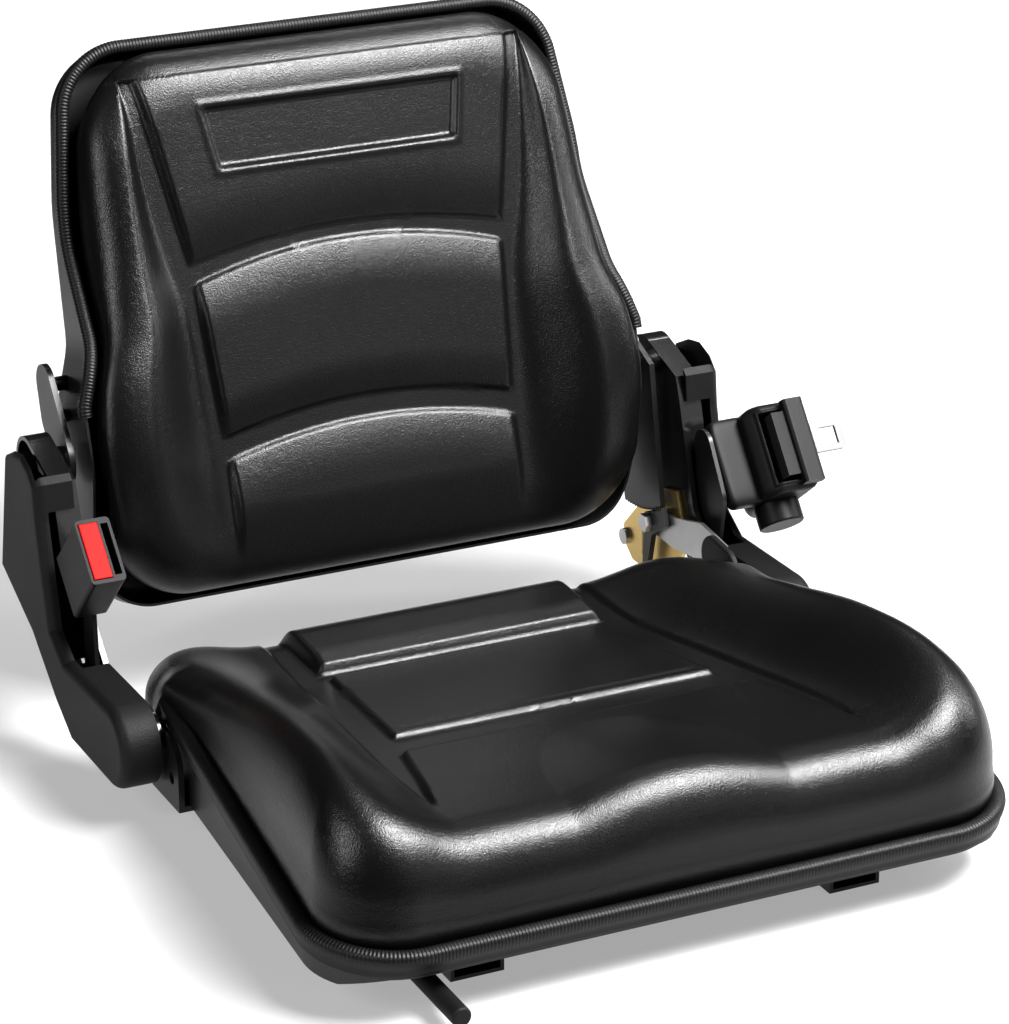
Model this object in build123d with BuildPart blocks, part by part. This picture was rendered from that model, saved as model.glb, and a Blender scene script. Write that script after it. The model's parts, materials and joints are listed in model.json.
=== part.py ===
from build123d import *
import math
import os

# Tractor seat. Millimetres, +Z up, the sitter faces -Y and +X is to the right of someone facing the seat.
# The origin is the centre of the rails' bolt pattern, on the plane that the rails are bolted to.

# Slide rails
rail_spacing = 264.0
rail_length = 360.0
rail_width = 36.0
rail_height = 15.0
rail_sheet = 2.5
rail_lip = 5.5
upper_rail_length = 350.0
upper_rail_top_width = 30.0
upper_rail_web_gap = 11.5
upper_flange_width = 25.0
upper_flange_z = 5.5
rail_stack_height = 22.0
ball_radius = 1.95
ball_pitch = 42.0
balls_per_row = 4
mount_spacing = 260.0
mount_hole_radius = 4.5
lock_slot_pitch = 15.0
lock_slot_count = 12
lock_slot_width = 7.0
lock_slot_height = 6.0

# Seat pan, in plan it tapers towards the rear
seat_front_y = -220.0
seat_rear_y = 204.0
seat_front_half = 245.0
seat_taper = 0.075
front_corner_radius = 60.0
rear_corner_radius = 70.0
trim_front_z = 40.0
trim_rise_deg = 6.1
trim_end_y = 113.0
trim_height = 16.0
trim_width = 9.0
rim_inset = 4.0
pan_sheet = 2.0
pan_rear_z = 40.0
skirt_end_y = 118.0
pan_ramp = 22.0
slot_clearance = 0.2
soft_gap = 0.6

# Pan bolts
bolt_radius = 4.0
bolt_head_radius = 7.0
bolt_head_height = 4.5
pan_bolt_spacing = 220.0
hole_clearance = 0.1

# Side arms, given for the right side and mirrored for the left
arm_inner_x = seat_front_half - 18.0
arm_sheet = 4.0
arm_flange = 13.0
arm_flange_sheet = 3.0
pivot_y = 296.0
pivot_z = 183.0
pivot_radius = 6.0
pivot_boss_radius = 20.0
foot_y = 114.0
foot_z = 53.0
foot_radius = 22.0
run_clearance = 0.05
face_clearance = 0.3
bracket_sheet = 4.0
bracket_front_y = 70.0
bracket_rear_y = 118.0
bracket_top_z = 67.0
bracket_foot_x = 160.0

# Arm covers
cover_gap = 0.5
cover_depth = 27.0
cover_wall = 2.5
cover_edge_radius = 7.0
cover_boss_radius = 6.0
cover_screw_radius = 2.5

# Backrest, leaning back; s runs up its front face and d runs back from that face
recline_deg = 17.0
back_foot_y = 223.0
back_foot_z = 40.0
back_bottom_s = 47.0
back_top_s = 430.0
back_hip_half = seat_front_half - 36.0
back_low_half = back_hip_half - 10.0
back_waist_half = back_hip_half - 13.0
back_chest_half = back_hip_half - 16.0
back_top_half = back_hip_half - 30.0
back_hip_s = 105.0
back_flare_s = 192.0
back_waist_s = 232.0
back_chest_s = 326.0
back_hip_radius = 150.0
back_flare_radius = 40.0
back_waist_radius = 60.0
back_chest_radius = 250.0
back_bottom_radius = 40.0
back_top_radius = 48.0
rim_depth = 30.0
shell_depth = 32.0
shell_sheet = 1.8
shell_edge_radius = 11.0
back_trim_front = 26.0
back_trim_height = 12.0
back_trim_out = 2.5
back_trim_in = 6.0
back_trim_end_s = 186.0
cushion_back_depth = 31.0

# Recliner
hinge_x = back_hip_half + 6.0
hinge_sheet = 4.0
hinge_bolt_s = (186.0, 208.0)
hinge_bolt_d = 44.0
hinge_bolt_radius = 4.0
hinge_boss_radius = 15.0
sector_radius = 107.0
tooth_depth = 2.4
tooth_count = 16
tooth_pitch_deg = 2.0
sector_rear_deg = -2.0
pawl_clearance = 0.35
pawl_first_deg = 22.0
pawl_teeth = 4
pawl_y = 262.0
pawl_z = pivot_z - sector_radius - 4.0
pawl_bolt_radius = 4.0
pawl_boss_radius = 8.0
lever_x = hinge_x + 4.5
lever_sheet = 3.0
bracket_plate_x = hinge_x + 8.5
spring_y = 283.0
spring_z = pawl_z - 27.0
spring_radius = 3.0
spring_wire = 0.6
spring_height = 16.0
spring_turns = 7

# Slide lever
slide_lever_x = -172.0
slide_lever_z = 13.0
slide_rod_radius = 4.0
slide_sleeve_radius = 6.5
slide_tip_y = -244.0
slide_sleeve_length = 62.0
slide_pivot_y = -40.0
slide_pin_radius = 4.0
slide_eye_radius = 9.0
lock_plate_sheet = 3.0
lock_teeth = 3
lock_center_y = -97.5

# Buckle and retractor anchors
anchor_y = 204.0
anchor_z = 62.0
anchor_radius = 5.0
strap_x = arm_inner_x + 6.5
strap_sheet = 3.0
buckle_x = -arm_inner_x - 13.0
buckle_y = 205.0
buckle_z = 129.0
buckle_tilt_deg = 45.0
buckle_thick = 24.0
buckle_wide = 46.0
buckle_long = 57.0
button_thick = 13.0
button_wide = 40.0
button_travel = 5.0
button_proud = 1.0
button_long = 9.0
tongue_slot_thick = 5.0
tongue_slot_wide = 37.0
tongue_slot_deep = 40.0
retractor_x = arm_inner_x + 43.0
retractor_y = 207.0
retractor_z = 128.0
retractor_tilt_deg = 38.2
drum_radius = 30.0
drum_length = 66.0
mouth_depth = 36.0
housing_edge_radius = 2.5
cap_radius = 16.5
cap_length = 16.0
webbing_width = 47.0
webbing_thick = 1.4

trim_slope = math.tan(math.radians(trim_rise_deg))
pan_floor_z = rail_stack_height
pan_top_z = trim_front_z + trim_slope * (seat_rear_y - seat_front_y) + trim_height
lean = math.radians(recline_deg)
back_up = Vector(0, math.sin(lean), math.cos(lean))
back_aft = Vector(0, math.cos(lean), -math.sin(lean))
back_foot = Vector(0, back_foot_y, back_foot_z)
trim_plane = Plane(
    origin=(0, seat_front_y, trim_front_z),
    x_dir=(1, 0, 0),
    z_dir=(0, -math.sin(math.radians(trim_rise_deg)), math.cos(math.radians(trim_rise_deg))),
)


def closed_face(points):
    """A flat face inside one closed polygon."""
    with BuildSketch() as face:
        with BuildLine():
            Polyline(*points, close=True)
        make_face()
    return face.sketch


def plan_face(inset):
    """The seat's plan outline, moved inwards by inset."""
    with BuildSketch() as face:
        with BuildLine():
            rear_half = seat_front_half - seat_taper * (seat_rear_y - seat_front_y)
            Polyline(
                (-seat_front_half, seat_front_y),
                (seat_front_half, seat_front_y),
                (rear_half, seat_rear_y),
                (-rear_half, seat_rear_y),
                close=True,
            )
        make_face()
        ends = face.vertices().group_by(Axis.Y)
        fillet(ends[0], front_corner_radius)
        fillet(face.vertices().group_by(Axis.Y)[-1], rear_corner_radius)
        if inset:
            offset(amount=-inset)
    return face.sketch


def back_face(grow):
    """The back shell's outline in its own plane, x across and s up, moved outwards by grow."""
    side = [
        (back_low_half, back_bottom_s, back_bottom_radius),
        (back_hip_half - 1.0, back_hip_s, back_hip_radius),
        (back_hip_half, back_flare_s, back_flare_radius),
        (back_waist_half, back_waist_s, back_waist_radius),
        (back_chest_half, back_chest_s, back_chest_radius),
        (back_top_half, back_top_s, back_top_radius),
    ]
    with BuildSketch() as face:
        with BuildLine():
            right = [(x, s) for x, s, radius in side]
            left = [(-x, s) for x, s in reversed(right)]
            Polyline(*right, *left, close=True)
        make_face()
        for x, s, radius in side:
            fillet([v for v in face.vertices() if math.hypot(abs(v.X) - x, v.Y - s) < 0.01], radius)
        if grow:
            offset(amount=grow)
    return face.sketch


def back_point(s, d):
    """The y and z of a point s up the backrest and d behind its front face."""
    point = back_foot + back_up * s + back_aft * d
    return (point.Y, point.Z)


def polar_point(radius, degrees):
    """A point at a radius from the backrest pivot, the angle taken forward from straight down."""
    angle = math.radians(degrees)
    return (pivot_y - radius * math.sin(angle), pivot_z - radius * math.cos(angle))


def side_plane(x):
    """A sketch plane square to X, with y across and z up."""
    return Plane.YZ.offset(x)


def back_plane(d):
    """A sketch plane along the backrest, d behind its front face, with x across and s up."""
    return Plane(origin=back_foot + back_aft * d, x_dir=(1, 0, 0), z_dir=-back_aft)


def save(builder, name):
    """Label a finished piece and write it."""
    builder.part.label = name
    export_step(builder.part, f"parts/{name}.step")


os.makedirs("parts", exist_ok=True)

# Lower rails: a C section with the lips turned in, bolted down through the base
for side, name in ((-1, "lower_rail_left"), (1, "lower_rail_right")):
    rail_x = side * rail_spacing / 2
    with BuildPart() as lower_rail:
        with BuildSketch(Plane(origin=(rail_x, 0, 0), x_dir=(1, 0, 0), z_dir=(0, -1, 0))):
            Rectangle(rail_width, rail_height, align=(Align.CENTER, Align.MIN))
            with Locations((0, rail_sheet)):
                Rectangle(
                    rail_width - 2 * rail_sheet,
                    rail_height - 2 * rail_sheet,
                    align=(Align.CENTER, Align.MIN),
                    mode=Mode.SUBTRACT,
                )
            with Locations((0, rail_height)):
                Rectangle(
                    rail_width - 2 * rail_sheet - 2 * rail_lip,
                    2 * rail_sheet,
                    mode=Mode.SUBTRACT,
                )
        extrude(amount=rail_length / 2, both=True)
        with Locations((rail_x, -mount_spacing / 2, rail_sheet), (rail_x, mount_spacing / 2, rail_sheet)):
            Hole(mount_hole_radius, depth=2 * rail_sheet)
        if side < 0:
            with BuildSketch(side_plane(rail_x - rail_width / 2)):
                with Locations((0, rail_height / 2)):
                    with GridLocations(lock_slot_pitch, 0, lock_slot_count, 1):
                        Rectangle(lock_slot_width, lock_slot_height)
            extrude(amount=rail_sheet, mode=Mode.SUBTRACT)
    save(lower_rail, name)

# Upper rails: a hat section that hangs in the lower rail, with its top under the pan
for side, name in ((-1, "upper_rail_left"), (1, "upper_rail_right")):
    rail_x = side * rail_spacing / 2
    web_x = upper_rail_web_gap / 2 + rail_sheet / 2
    flange_run = upper_flange_width / 2 - upper_rail_web_gap / 2
    with BuildPart() as upper_rail:
        with BuildSketch(Plane(origin=(rail_x, 0, 0), x_dir=(1, 0, 0), z_dir=(0, -1, 0))):
            with Locations((0, rail_stack_height)):
                Rectangle(upper_rail_top_width, rail_sheet, align=(Align.CENTER, Align.MAX))
            with Locations((-web_x, upper_flange_z), (web_x, upper_flange_z)):
                Rectangle(rail_sheet, rail_stack_height - upper_flange_z, align=(Align.CENTER, Align.MIN))
            with Locations((upper_rail_web_gap / 2, upper_flange_z)):
                Rectangle(flange_run, rail_sheet, align=(Align.MIN, Align.MIN))
            with Locations((-upper_rail_web_gap / 2, upper_flange_z)):
                Rectangle(flange_run, rail_sheet, align=(Align.MAX, Align.MIN))
        extrude(amount=upper_rail_length / 2, both=True)
        with Locations(
            (rail_x, -pan_bolt_spacing / 2, rail_stack_height),
            (rail_x, pan_bolt_spacing / 2, rail_stack_height),
        ):
            Hole(bolt_radius + hole_clearance, depth=2 * rail_sheet)
    save(upper_rail, name)

# Rail balls: they run on the upper rail's flanges, under the lower rail's lips
ball_z = (upper_flange_z + rail_sheet + rail_height - rail_sheet) / 2
ball_x = upper_flange_width / 2 + rail_sheet / 5
for side, name in ((-1, "rail_balls_left"), (1, "rail_balls_right")):
    with BuildPart() as rail_balls:
        with Locations((side * rail_spacing / 2, 0, ball_z)):
            with GridLocations(2 * ball_x, ball_pitch, 2, balls_per_row):
                Sphere(ball_radius)
    save(rail_balls, name)

# Seat pan: a pressed tray whose floor ramps up to the front and whose rim drops behind the arms
pan_front_z = trim_front_z - trim_height / 2 - pan_sheet - 0.5


def below_ramp(lift):
    """The side view of the space under the tray's front ramp, raised by lift."""
    ramp_y = seat_front_y + trim_width
    with BuildSketch() as face:
        with BuildLine():
            Polyline(
                (seat_front_y - trim_width, 0),
                (seat_front_y - trim_width, pan_front_z + lift),
                (ramp_y, pan_front_z + lift),
                (ramp_y + pan_ramp, pan_floor_z + lift),
                (ramp_y + pan_ramp, 0),
                close=True,
            )
        make_face()
    return face.sketch


with BuildPart() as pan_hollow:
    with BuildSketch(Plane.XY.offset(pan_floor_z + pan_sheet)):
        add(plan_face(rim_inset + pan_sheet))
    extrude(amount=pan_top_z)
    with BuildSketch(Plane.YZ):
        add(below_ramp(pan_sheet))
    extrude(amount=seat_front_half, both=True, mode=Mode.SUBTRACT)
with BuildPart() as seat_pan:
    with BuildSketch(Plane.XY.offset(pan_floor_z)):
        add(plan_face(rim_inset))
    extrude(amount=pan_top_z - pan_floor_z)
    split(bisect_by=trim_plane, keep=Keep.BOTTOM)
    with BuildSketch(Plane.YZ):
        add(below_ramp(0))
    extrude(amount=seat_front_half, both=True, mode=Mode.SUBTRACT)
    add(pan_hollow.part, mode=Mode.SUBTRACT)
    with BuildSketch(Plane.YZ):
        with Locations((skirt_end_y, pan_rear_z)):
            Rectangle(2 * seat_rear_y, 2 * pan_top_z, align=(Align.MIN, Align.MIN))
    extrude(amount=seat_front_half, both=True, mode=Mode.SUBTRACT)
    with Locations((0, 0, pan_floor_z + pan_sheet)):
        with GridLocations(rail_spacing, pan_bolt_spacing, 2, 2):
            Hole(bolt_radius + hole_clearance, depth=2 * pan_sheet)
save(seat_pan, "seat_pan")

# Pan bolts with their nuts in the upper rails
with BuildPart() as pan_bolts:
    with BuildSketch(Plane.XY.offset(pan_floor_z + pan_sheet)):
        with GridLocations(rail_spacing, pan_bolt_spacing, 2, 2):
            RegularPolygon(bolt_head_radius, 6)
    extrude(amount=bolt_head_height)
    with BuildSketch(Plane.XY.offset(pan_floor_z + pan_sheet)):
        with GridLocations(rail_spacing, pan_bolt_spacing, 2, 2):
            Circle(bolt_radius)
    extrude(amount=-(pan_sheet + rail_sheet + bolt_head_height + pan_sheet))
    with BuildSketch(Plane.XY.offset(rail_stack_height - rail_sheet)):
        with GridLocations(rail_spacing, pan_bolt_spacing, 2, 2):
            RegularPolygon(upper_rail_web_gap / 2 - face_clearance, 6)
    extrude(amount=-bolt_head_height)
save(pan_bolts, "pan_bolts")

# Seat edge trim: a U section pushed over the pan's rim, ending at the arm brackets
with BuildPart() as seat_trim:
    with BuildSketch(Plane.XY.offset(pan_floor_z)):
        add(plan_face(0))
        add(plan_face(trim_width), mode=Mode.SUBTRACT)
    extrude(amount=pan_top_z - pan_floor_z)
    split(bisect_by=trim_plane.offset(trim_height / 2), keep=Keep.BOTTOM)
    split(bisect_by=trim_plane.offset(-trim_height / 2), keep=Keep.TOP)
    with BuildSketch(Plane.YZ):
        with Locations((trim_end_y, 0)):
            Rectangle(2 * seat_rear_y, 2 * pan_top_z, align=(Align.MIN, Align.MIN))
    extrude(amount=seat_front_half, both=True, mode=Mode.SUBTRACT)
with BuildPart() as rim_groove:
    with BuildSketch(Plane.XY.offset(0)):
        add(plan_face(rim_inset - slot_clearance))
        add(plan_face(rim_inset + pan_sheet + slot_clearance), mode=Mode.SUBTRACT)
    extrude(amount=pan_top_z)
    split(bisect_by=trim_plane.offset(slot_clearance), keep=Keep.BOTTOM)
with BuildPart() as grooved_trim:
    add(seat_trim.part)
    add(rim_groove.part, mode=Mode.SUBTRACT)
save(grooved_trim, "seat_trim")

# Seat cushion: sections across the seat, each with a dish between two bolsters
# Rows hold y, then heights at the middle, over a thigh, on the bolster and at the edge
cushion_rows = (
    (-222.0, 62.0, 60.0, 58.0, 50.0),
    (-200.0, 101.0, 95.0, 99.0, 76.0),
    (-172.0, 116.0, 107.0, 122.0, 92.0),
    (-125.0, 112.0, 103.0, 130.0, 97.0),
    (-55.0, 99.0, 95.0, 127.0, 99.0),
    (20.0, 86.0, 85.0, 112.0, 96.0),
    (100.0, 75.0, 75.0, 100.0, 92.0),
    (150.0, 80.0, 80.0, 93.0, 86.0),
    (188.0, 80.0, 79.0, 85.0, 76.0),
    (212.0, 56.0, 56.0, 57.0, 54.0),
)
thigh_share = 0.42
bolster_share = 0.85
cushion_floor_z = pan_floor_z + pan_sheet + soft_gap
with BuildPart() as cushion_form:
    for y, middle, thigh, bolster, edge in cushion_rows:
        half = seat_front_half - seat_taper * (y - seat_front_y)
        with BuildSketch(Plane(origin=(0, y, 0), x_dir=(1, 0, 0), z_dir=(0, -1, 0))):
            with BuildLine():
                right = [(half * thigh_share, thigh), (half * bolster_share, bolster), (half, edge)]
                left = [(-x, z) for x, z in reversed(right)]
                Spline(*left, (0, middle), *right)
                Polyline((half, edge), (half, cushion_floor_z), (-half, cushion_floor_z), (-half, edge))
            make_face()
    loft()
with BuildPart() as cushion_plan:
    with BuildSketch(Plane.XY.offset(cushion_floor_z)):
        add(plan_face(trim_width + soft_gap))
    extrude(amount=pan_top_z)
with BuildPart() as seat_cushion:
    add(cushion_form.part)
    add(cushion_plan.part, mode=Mode.INTERSECT)
    with BuildSketch(Plane.XY.offset(cushion_floor_z)):
        with GridLocations(rail_spacing, pan_bolt_spacing, 2, 2):
            Circle(bolt_head_radius + 2 * soft_gap)
    extrude(amount=bolt_head_height + soft_gap, mode=Mode.SUBTRACT)
    with BuildSketch(Plane.YZ):
        add(below_ramp(pan_sheet + soft_gap))
    extrude(amount=seat_front_half, both=True, mode=Mode.SUBTRACT)
save(seat_cushion, "seat_cushion")

# Arm brackets: a foot under the pan, folded up to carry the arm
arm_bolt_points = [(foot_y - 10.0, foot_z - 6.0), (foot_y - 2.0, foot_z + 7.0)]
with BuildPart() as arm_bracket:
    with BuildSketch(Plane(origin=(0, bracket_front_y, 0), x_dir=(1, 0, 0), z_dir=(0, -1, 0))):
        with BuildLine():
            Polyline(
                (bracket_foot_x, pan_floor_z),
                (bracket_foot_x, pan_floor_z - bracket_sheet),
                (arm_inner_x, pan_floor_z - bracket_sheet),
                (arm_inner_x, bracket_top_z),
                (arm_inner_x - bracket_sheet, bracket_top_z),
                (arm_inner_x - bracket_sheet, pan_floor_z),
                close=True,
            )
        make_face()
    extrude(amount=-(bracket_rear_y - bracket_front_y))
    front_edge = arm_bracket.edges().filter_by(Axis.X).group_by(Axis.Z)[-1].sort_by(Axis.Y)[0]
    fillet(front_edge, (bracket_top_z - pan_floor_z) / 2)
    with BuildSketch(side_plane(arm_inner_x)):
        with Locations(*arm_bolt_points, (bracket_front_y + 12.0, foot_z - 15.0)):
            Circle(bolt_radius + hole_clearance)
    extrude(amount=-bracket_sheet, mode=Mode.SUBTRACT)
save(arm_bracket, "arm_bracket_right")
with BuildPart() as arm_bracket_left:
    mirror(arm_bracket.part, about=Plane.YZ)
save(arm_bracket_left, "arm_bracket_left")

# Side arms: pressed plates with a flange turned outwards, rounded over the pivot
elbow_low = (foot_y + 78.0, foot_z + 20.0)
elbow_high = (foot_y + 102.0, foot_z + 43.0)
arm_points = [
    (foot_y, foot_z + foot_radius),
    elbow_low,
    elbow_high,
    (pivot_y - 56.0, pivot_z - 11.0),
    (pivot_y - 50.0, pivot_z + 5.0),
    (pivot_y - 4.0, pivot_z + pivot_boss_radius - 0.4),
    (pivot_y + pivot_boss_radius - 0.4, pivot_z - 4.0),
    (pivot_y + 7.0, foot_z + 59.0),
    (pivot_y - 42.0, foot_z + 27.0),
    (anchor_y + 4.0, foot_z - 8.0),
    (anchor_y - 16.0, foot_z - foot_radius),
    (foot_y, foot_z - foot_radius),
]
cover_screw_points = [(foot_y + 36.0, foot_z - 1.0), (pivot_y - 16.0, pivot_z - 43.0)]
pawl_plate_bolts = [(pawl_y - 33.0, pawl_z + 6.0), (pawl_y - 18.0, pawl_z + 24.0)]


def arm_face(shrink):
    """The side arm's outline, moved inwards by shrink."""
    with BuildSketch() as face:
        add(closed_face(arm_points))
        with Locations((foot_y, foot_z)):
            Circle(foot_radius)
        with Locations((pivot_y, pivot_z)):
            Circle(pivot_boss_radius)
        if shrink:
            offset(amount=-shrink)
    return face.sketch


with BuildPart() as side_arm:
    with BuildSketch(side_plane(arm_inner_x)):
        add(arm_face(0))
    extrude(amount=arm_sheet + arm_flange)
    with BuildSketch(side_plane(arm_inner_x + arm_sheet)):
        add(arm_face(arm_flange_sheet))
    extrude(amount=arm_flange, mode=Mode.SUBTRACT)
    # The flange is open where a belt anchor strap comes in over it
    with BuildSketch(side_plane(arm_inner_x + arm_sheet)):
        with Locations((anchor_y + 2.5, anchor_z + 37.0)):
            Rectangle(51.0, 76.0)
    extrude(amount=arm_flange, mode=Mode.SUBTRACT)
    with BuildSketch(side_plane(arm_inner_x)):
        with Locations((pivot_y, pivot_z)):
            Circle(pivot_radius + run_clearance)
        with Locations((anchor_y, anchor_z)):
            Circle(anchor_radius + hole_clearance)
        with Locations(*arm_bolt_points):
            Circle(bolt_radius + hole_clearance)
        with Locations(*cover_screw_points):
            Circle(cover_screw_radius + hole_clearance)
    extrude(amount=arm_sheet, mode=Mode.SUBTRACT)
with BuildPart() as side_arm_left:
    mirror(side_arm.part, about=Plane.YZ)
save(side_arm_left, "side_arm_left")
with BuildPart() as side_arm_right:
    add(side_arm.part)
    with BuildSketch(side_plane(arm_inner_x)):
        with Locations(*pawl_plate_bolts):
            Circle(bolt_radius + hole_clearance)
    extrude(amount=arm_sheet, mode=Mode.SUBTRACT)
save(side_arm_right, "side_arm_right")


def bolt_row(points, head_x, head_height, shank_end, radius, head_radius):
    """Hexagon bolts along X at points of the side view, heads outside head_x."""
    with BuildPart() as bolts:
        with BuildSketch(side_plane(head_x)):
            with Locations(*points):
                RegularPolygon(head_radius, 6)
        extrude(amount=head_height)
        with BuildSketch(side_plane(head_x)):
            with Locations(*points):
                Circle(radius)
        extrude(amount=shank_end - head_x)
    return bolts


# Arm bolts, with nuts inside the bracket
arm_outer_x = arm_inner_x + arm_sheet
nut_height = 3.2
with BuildPart() as arm_bolts:
    add(bolt_row(arm_bolt_points, arm_outer_x, bolt_head_height,
                 arm_inner_x - bracket_sheet - nut_height, bolt_radius, bolt_head_radius - 1.0).part)
    with BuildSketch(side_plane(arm_inner_x - bracket_sheet)):
        with Locations(*arm_bolt_points):
            RegularPolygon(bolt_head_radius - 1.0, 6)
    extrude(amount=-nut_height)
    mirror(about=Plane.YZ)
save(arm_bolts, "arm_bolts")

# Pivot pins: a collar between arm and hinge plate, and a head inside the hinge plate
pin_head_radius = 9.0
pin_head_sheet = 3.0
with BuildPart() as pivot_pin:
    with BuildSketch(side_plane(hinge_x - face_clearance - pin_head_sheet)):
        with Locations((pivot_y, pivot_z)):
            Circle(pin_head_radius)
    extrude(amount=pin_head_sheet)
    with BuildSketch(side_plane(hinge_x - face_clearance)):
        with Locations((pivot_y, pivot_z)):
            Circle(pivot_radius)
    extrude(amount=arm_outer_x - hinge_x + face_clearance)
    with BuildSketch(side_plane(hinge_x + hinge_sheet + face_clearance)):
        with Locations((pivot_y, pivot_z)):
            Circle(pin_head_radius)
    extrude(amount=arm_inner_x - hinge_x - hinge_sheet - face_clearance)
    with BuildSketch(side_plane(arm_outer_x)):
        with Locations((pivot_y, pivot_z)):
            RegularPolygon(pin_head_radius, 6)
    extrude(amount=pin_head_sheet)
save(pivot_pin, "pivot_pin_right")
with BuildPart() as pivot_pin_left:
    mirror(pivot_pin.part, about=Plane.YZ)
save(pivot_pin_left, "pivot_pin_left")

# Arm covers: moulded shells, open to the arm, cut away above for the arm's rounded end
cover_x = arm_outer_x + cover_gap
cover_face_x = cover_x + cover_depth
cover_end_radius = foot_radius + 6.5
cover_points = [
    (foot_y, foot_z + cover_end_radius),
    (anchor_y - 8.0, foot_z + 27.0),
    (anchor_y + 15.0, foot_z + 41.0),
    (pivot_y - 60.0, pivot_z - 18.0),
    (pivot_y - 57.0, pivot_z + 7.0),
    (pivot_y - 46.0, pivot_z + 17.0),
    (pivot_y - 31.0, pivot_z + 22.0),
    (pivot_y - 14.0, pivot_z + 19.0),
    (pivot_y + 6.0, pivot_z + 9.0),
    (pivot_y + 25.0, foot_z + 50.0),
    (pivot_y - 36.0, foot_z + 22.0),
    (anchor_y + 13.0, foot_z - 11.0),
    (anchor_y - 16.0, foot_z - cover_end_radius),
    (foot_y, foot_z - cover_end_radius),
]


def cover_face(shrink):
    """The arm cover's outline, moved inwards by shrink."""
    with BuildSketch() as face:
        add(closed_face(cover_points))
        with Locations((foot_y, foot_z)):
            Circle(cover_end_radius)
        if shrink:
            offset(amount=-shrink)
    return face.sketch


with BuildPart() as cover_hollow:
    with BuildSketch(side_plane(cover_x)):
        add(cover_face(cover_wall))
    extrude(amount=cover_depth - cover_wall)
    fillet(cover_hollow.faces().sort_by(Axis.X)[-1].edges(), cover_edge_radius - cover_wall)
with BuildPart() as arm_cover:
    with BuildSketch(side_plane(cover_x)):
        add(cover_face(0))
    extrude(amount=cover_depth)
    fillet(arm_cover.faces().sort_by(Axis.X)[-1].edges(), cover_edge_radius)
    add(cover_hollow.part, mode=Mode.SUBTRACT)
    with BuildSketch(side_plane(cover_x)):
        with Locations((pivot_y - 52.5, pivot_z + 4.0)):
            Rectangle(80.0, 60.0, align=(Align.MIN, Align.MIN))
    extrude(amount=cover_depth - cover_wall, mode=Mode.SUBTRACT)
    # Rear wall cut back round the arm's pivot end
    with BuildSketch(side_plane(cover_x)):
        with Locations((pivot_y - 2.0, pivot_z - 43.0)):
            Rectangle(60.0, 80.0, align=(Align.MIN, Align.MIN))
    extrude(amount=arm_flange + 1.0, mode=Mode.SUBTRACT)
    # Front wall cut back where the belt hardware stands
    with BuildSketch(side_plane(cover_x)):
        with Locations((anchor_y + 10.0, anchor_z + 62.0)):
            Rectangle(66.0, 94.0)
    extrude(amount=18.5, mode=Mode.SUBTRACT)
    with BuildSketch(side_plane(arm_outer_x + face_clearance)):
        with Locations(*cover_screw_points):
            Circle(cover_boss_radius)
    extrude(amount=cover_depth - cover_wall / 2)
    with BuildSketch(side_plane(arm_outer_x + face_clearance)):
        with Locations(*cover_screw_points):
            Circle(cover_screw_radius)
    extrude(amount=cover_depth / 2, mode=Mode.SUBTRACT)
save(arm_cover, "arm_cover_right")
with BuildPart() as arm_cover_left:
    mirror(arm_cover.part, about=Plane.YZ)
save(arm_cover_left, "arm_cover_left")

# Cover screws, from the inner side of each arm
with BuildPart() as cover_screws:
    with BuildSketch(side_plane(arm_inner_x)):
        with Locations(*cover_screw_points):
            Circle(2 * cover_screw_radius)
    extrude(amount=-cover_screw_radius)
    with BuildSketch(side_plane(arm_inner_x)):
        with Locations(*cover_screw_points):
            Circle(cover_screw_radius)
    extrude(amount=arm_sheet + cover_depth / 3)
    mirror(about=Plane.YZ)
save(cover_screws, "cover_screws")

# Hinge plates on the backrest; the right one carries the toothed sector
hinge_bolt_points = [back_point(s, hinge_bolt_d) for s in hinge_bolt_s]


def hinge_face():
    """The hinge plate round the pivot and up to its bolts."""
    with BuildSketch() as face:
        with Locations((pivot_y, pivot_z)):
            Circle(pivot_boss_radius - 1.0)
        with Locations(*hinge_bolt_points):
            Circle(hinge_boss_radius)
        make_hull()
    return face.sketch


def hinge_holes():
    """The pivot and bolt holes of a hinge plate."""
    with BuildSketch() as face:
        with Locations((pivot_y, pivot_z)):
            Circle(pivot_radius + run_clearance)
        with Locations(*hinge_bolt_points):
            Circle(hinge_bolt_radius + hole_clearance)
    return face.sketch


sector_front_deg = sector_rear_deg + tooth_count * tooth_pitch_deg
tooth_points = []
for tooth in range(tooth_count):
    root_deg = sector_rear_deg + tooth * tooth_pitch_deg
    tooth_points.append(polar_point(sector_radius - tooth_depth, root_deg))
    tooth_points.append(polar_point(sector_radius, root_deg + tooth_pitch_deg / 2))
tooth_points.append(polar_point(sector_radius - tooth_depth, sector_front_deg))
with BuildPart() as recliner_sector:
    with BuildSketch(side_plane(hinge_x)):
        add(hinge_face())
        add(closed_face(tooth_points + [
            (pivot_y - 32.0, pivot_z + 10.0),
            (pivot_y - 8.0, pivot_z + pivot_boss_radius),
            (pivot_y + pivot_boss_radius - 2.0, pivot_z),
        ]))
        add(hinge_holes(), mode=Mode.SUBTRACT)
    extrude(amount=hinge_sheet)
save(recliner_sector, "recliner_sector")
with BuildPart() as back_hinge_left:
    with BuildSketch(side_plane(-hinge_x - hinge_sheet)):
        add(hinge_face())
        add(hinge_holes(), mode=Mode.SUBTRACT)
    extrude(amount=hinge_sheet)
save(back_hinge_left, "back_hinge_left")

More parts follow.
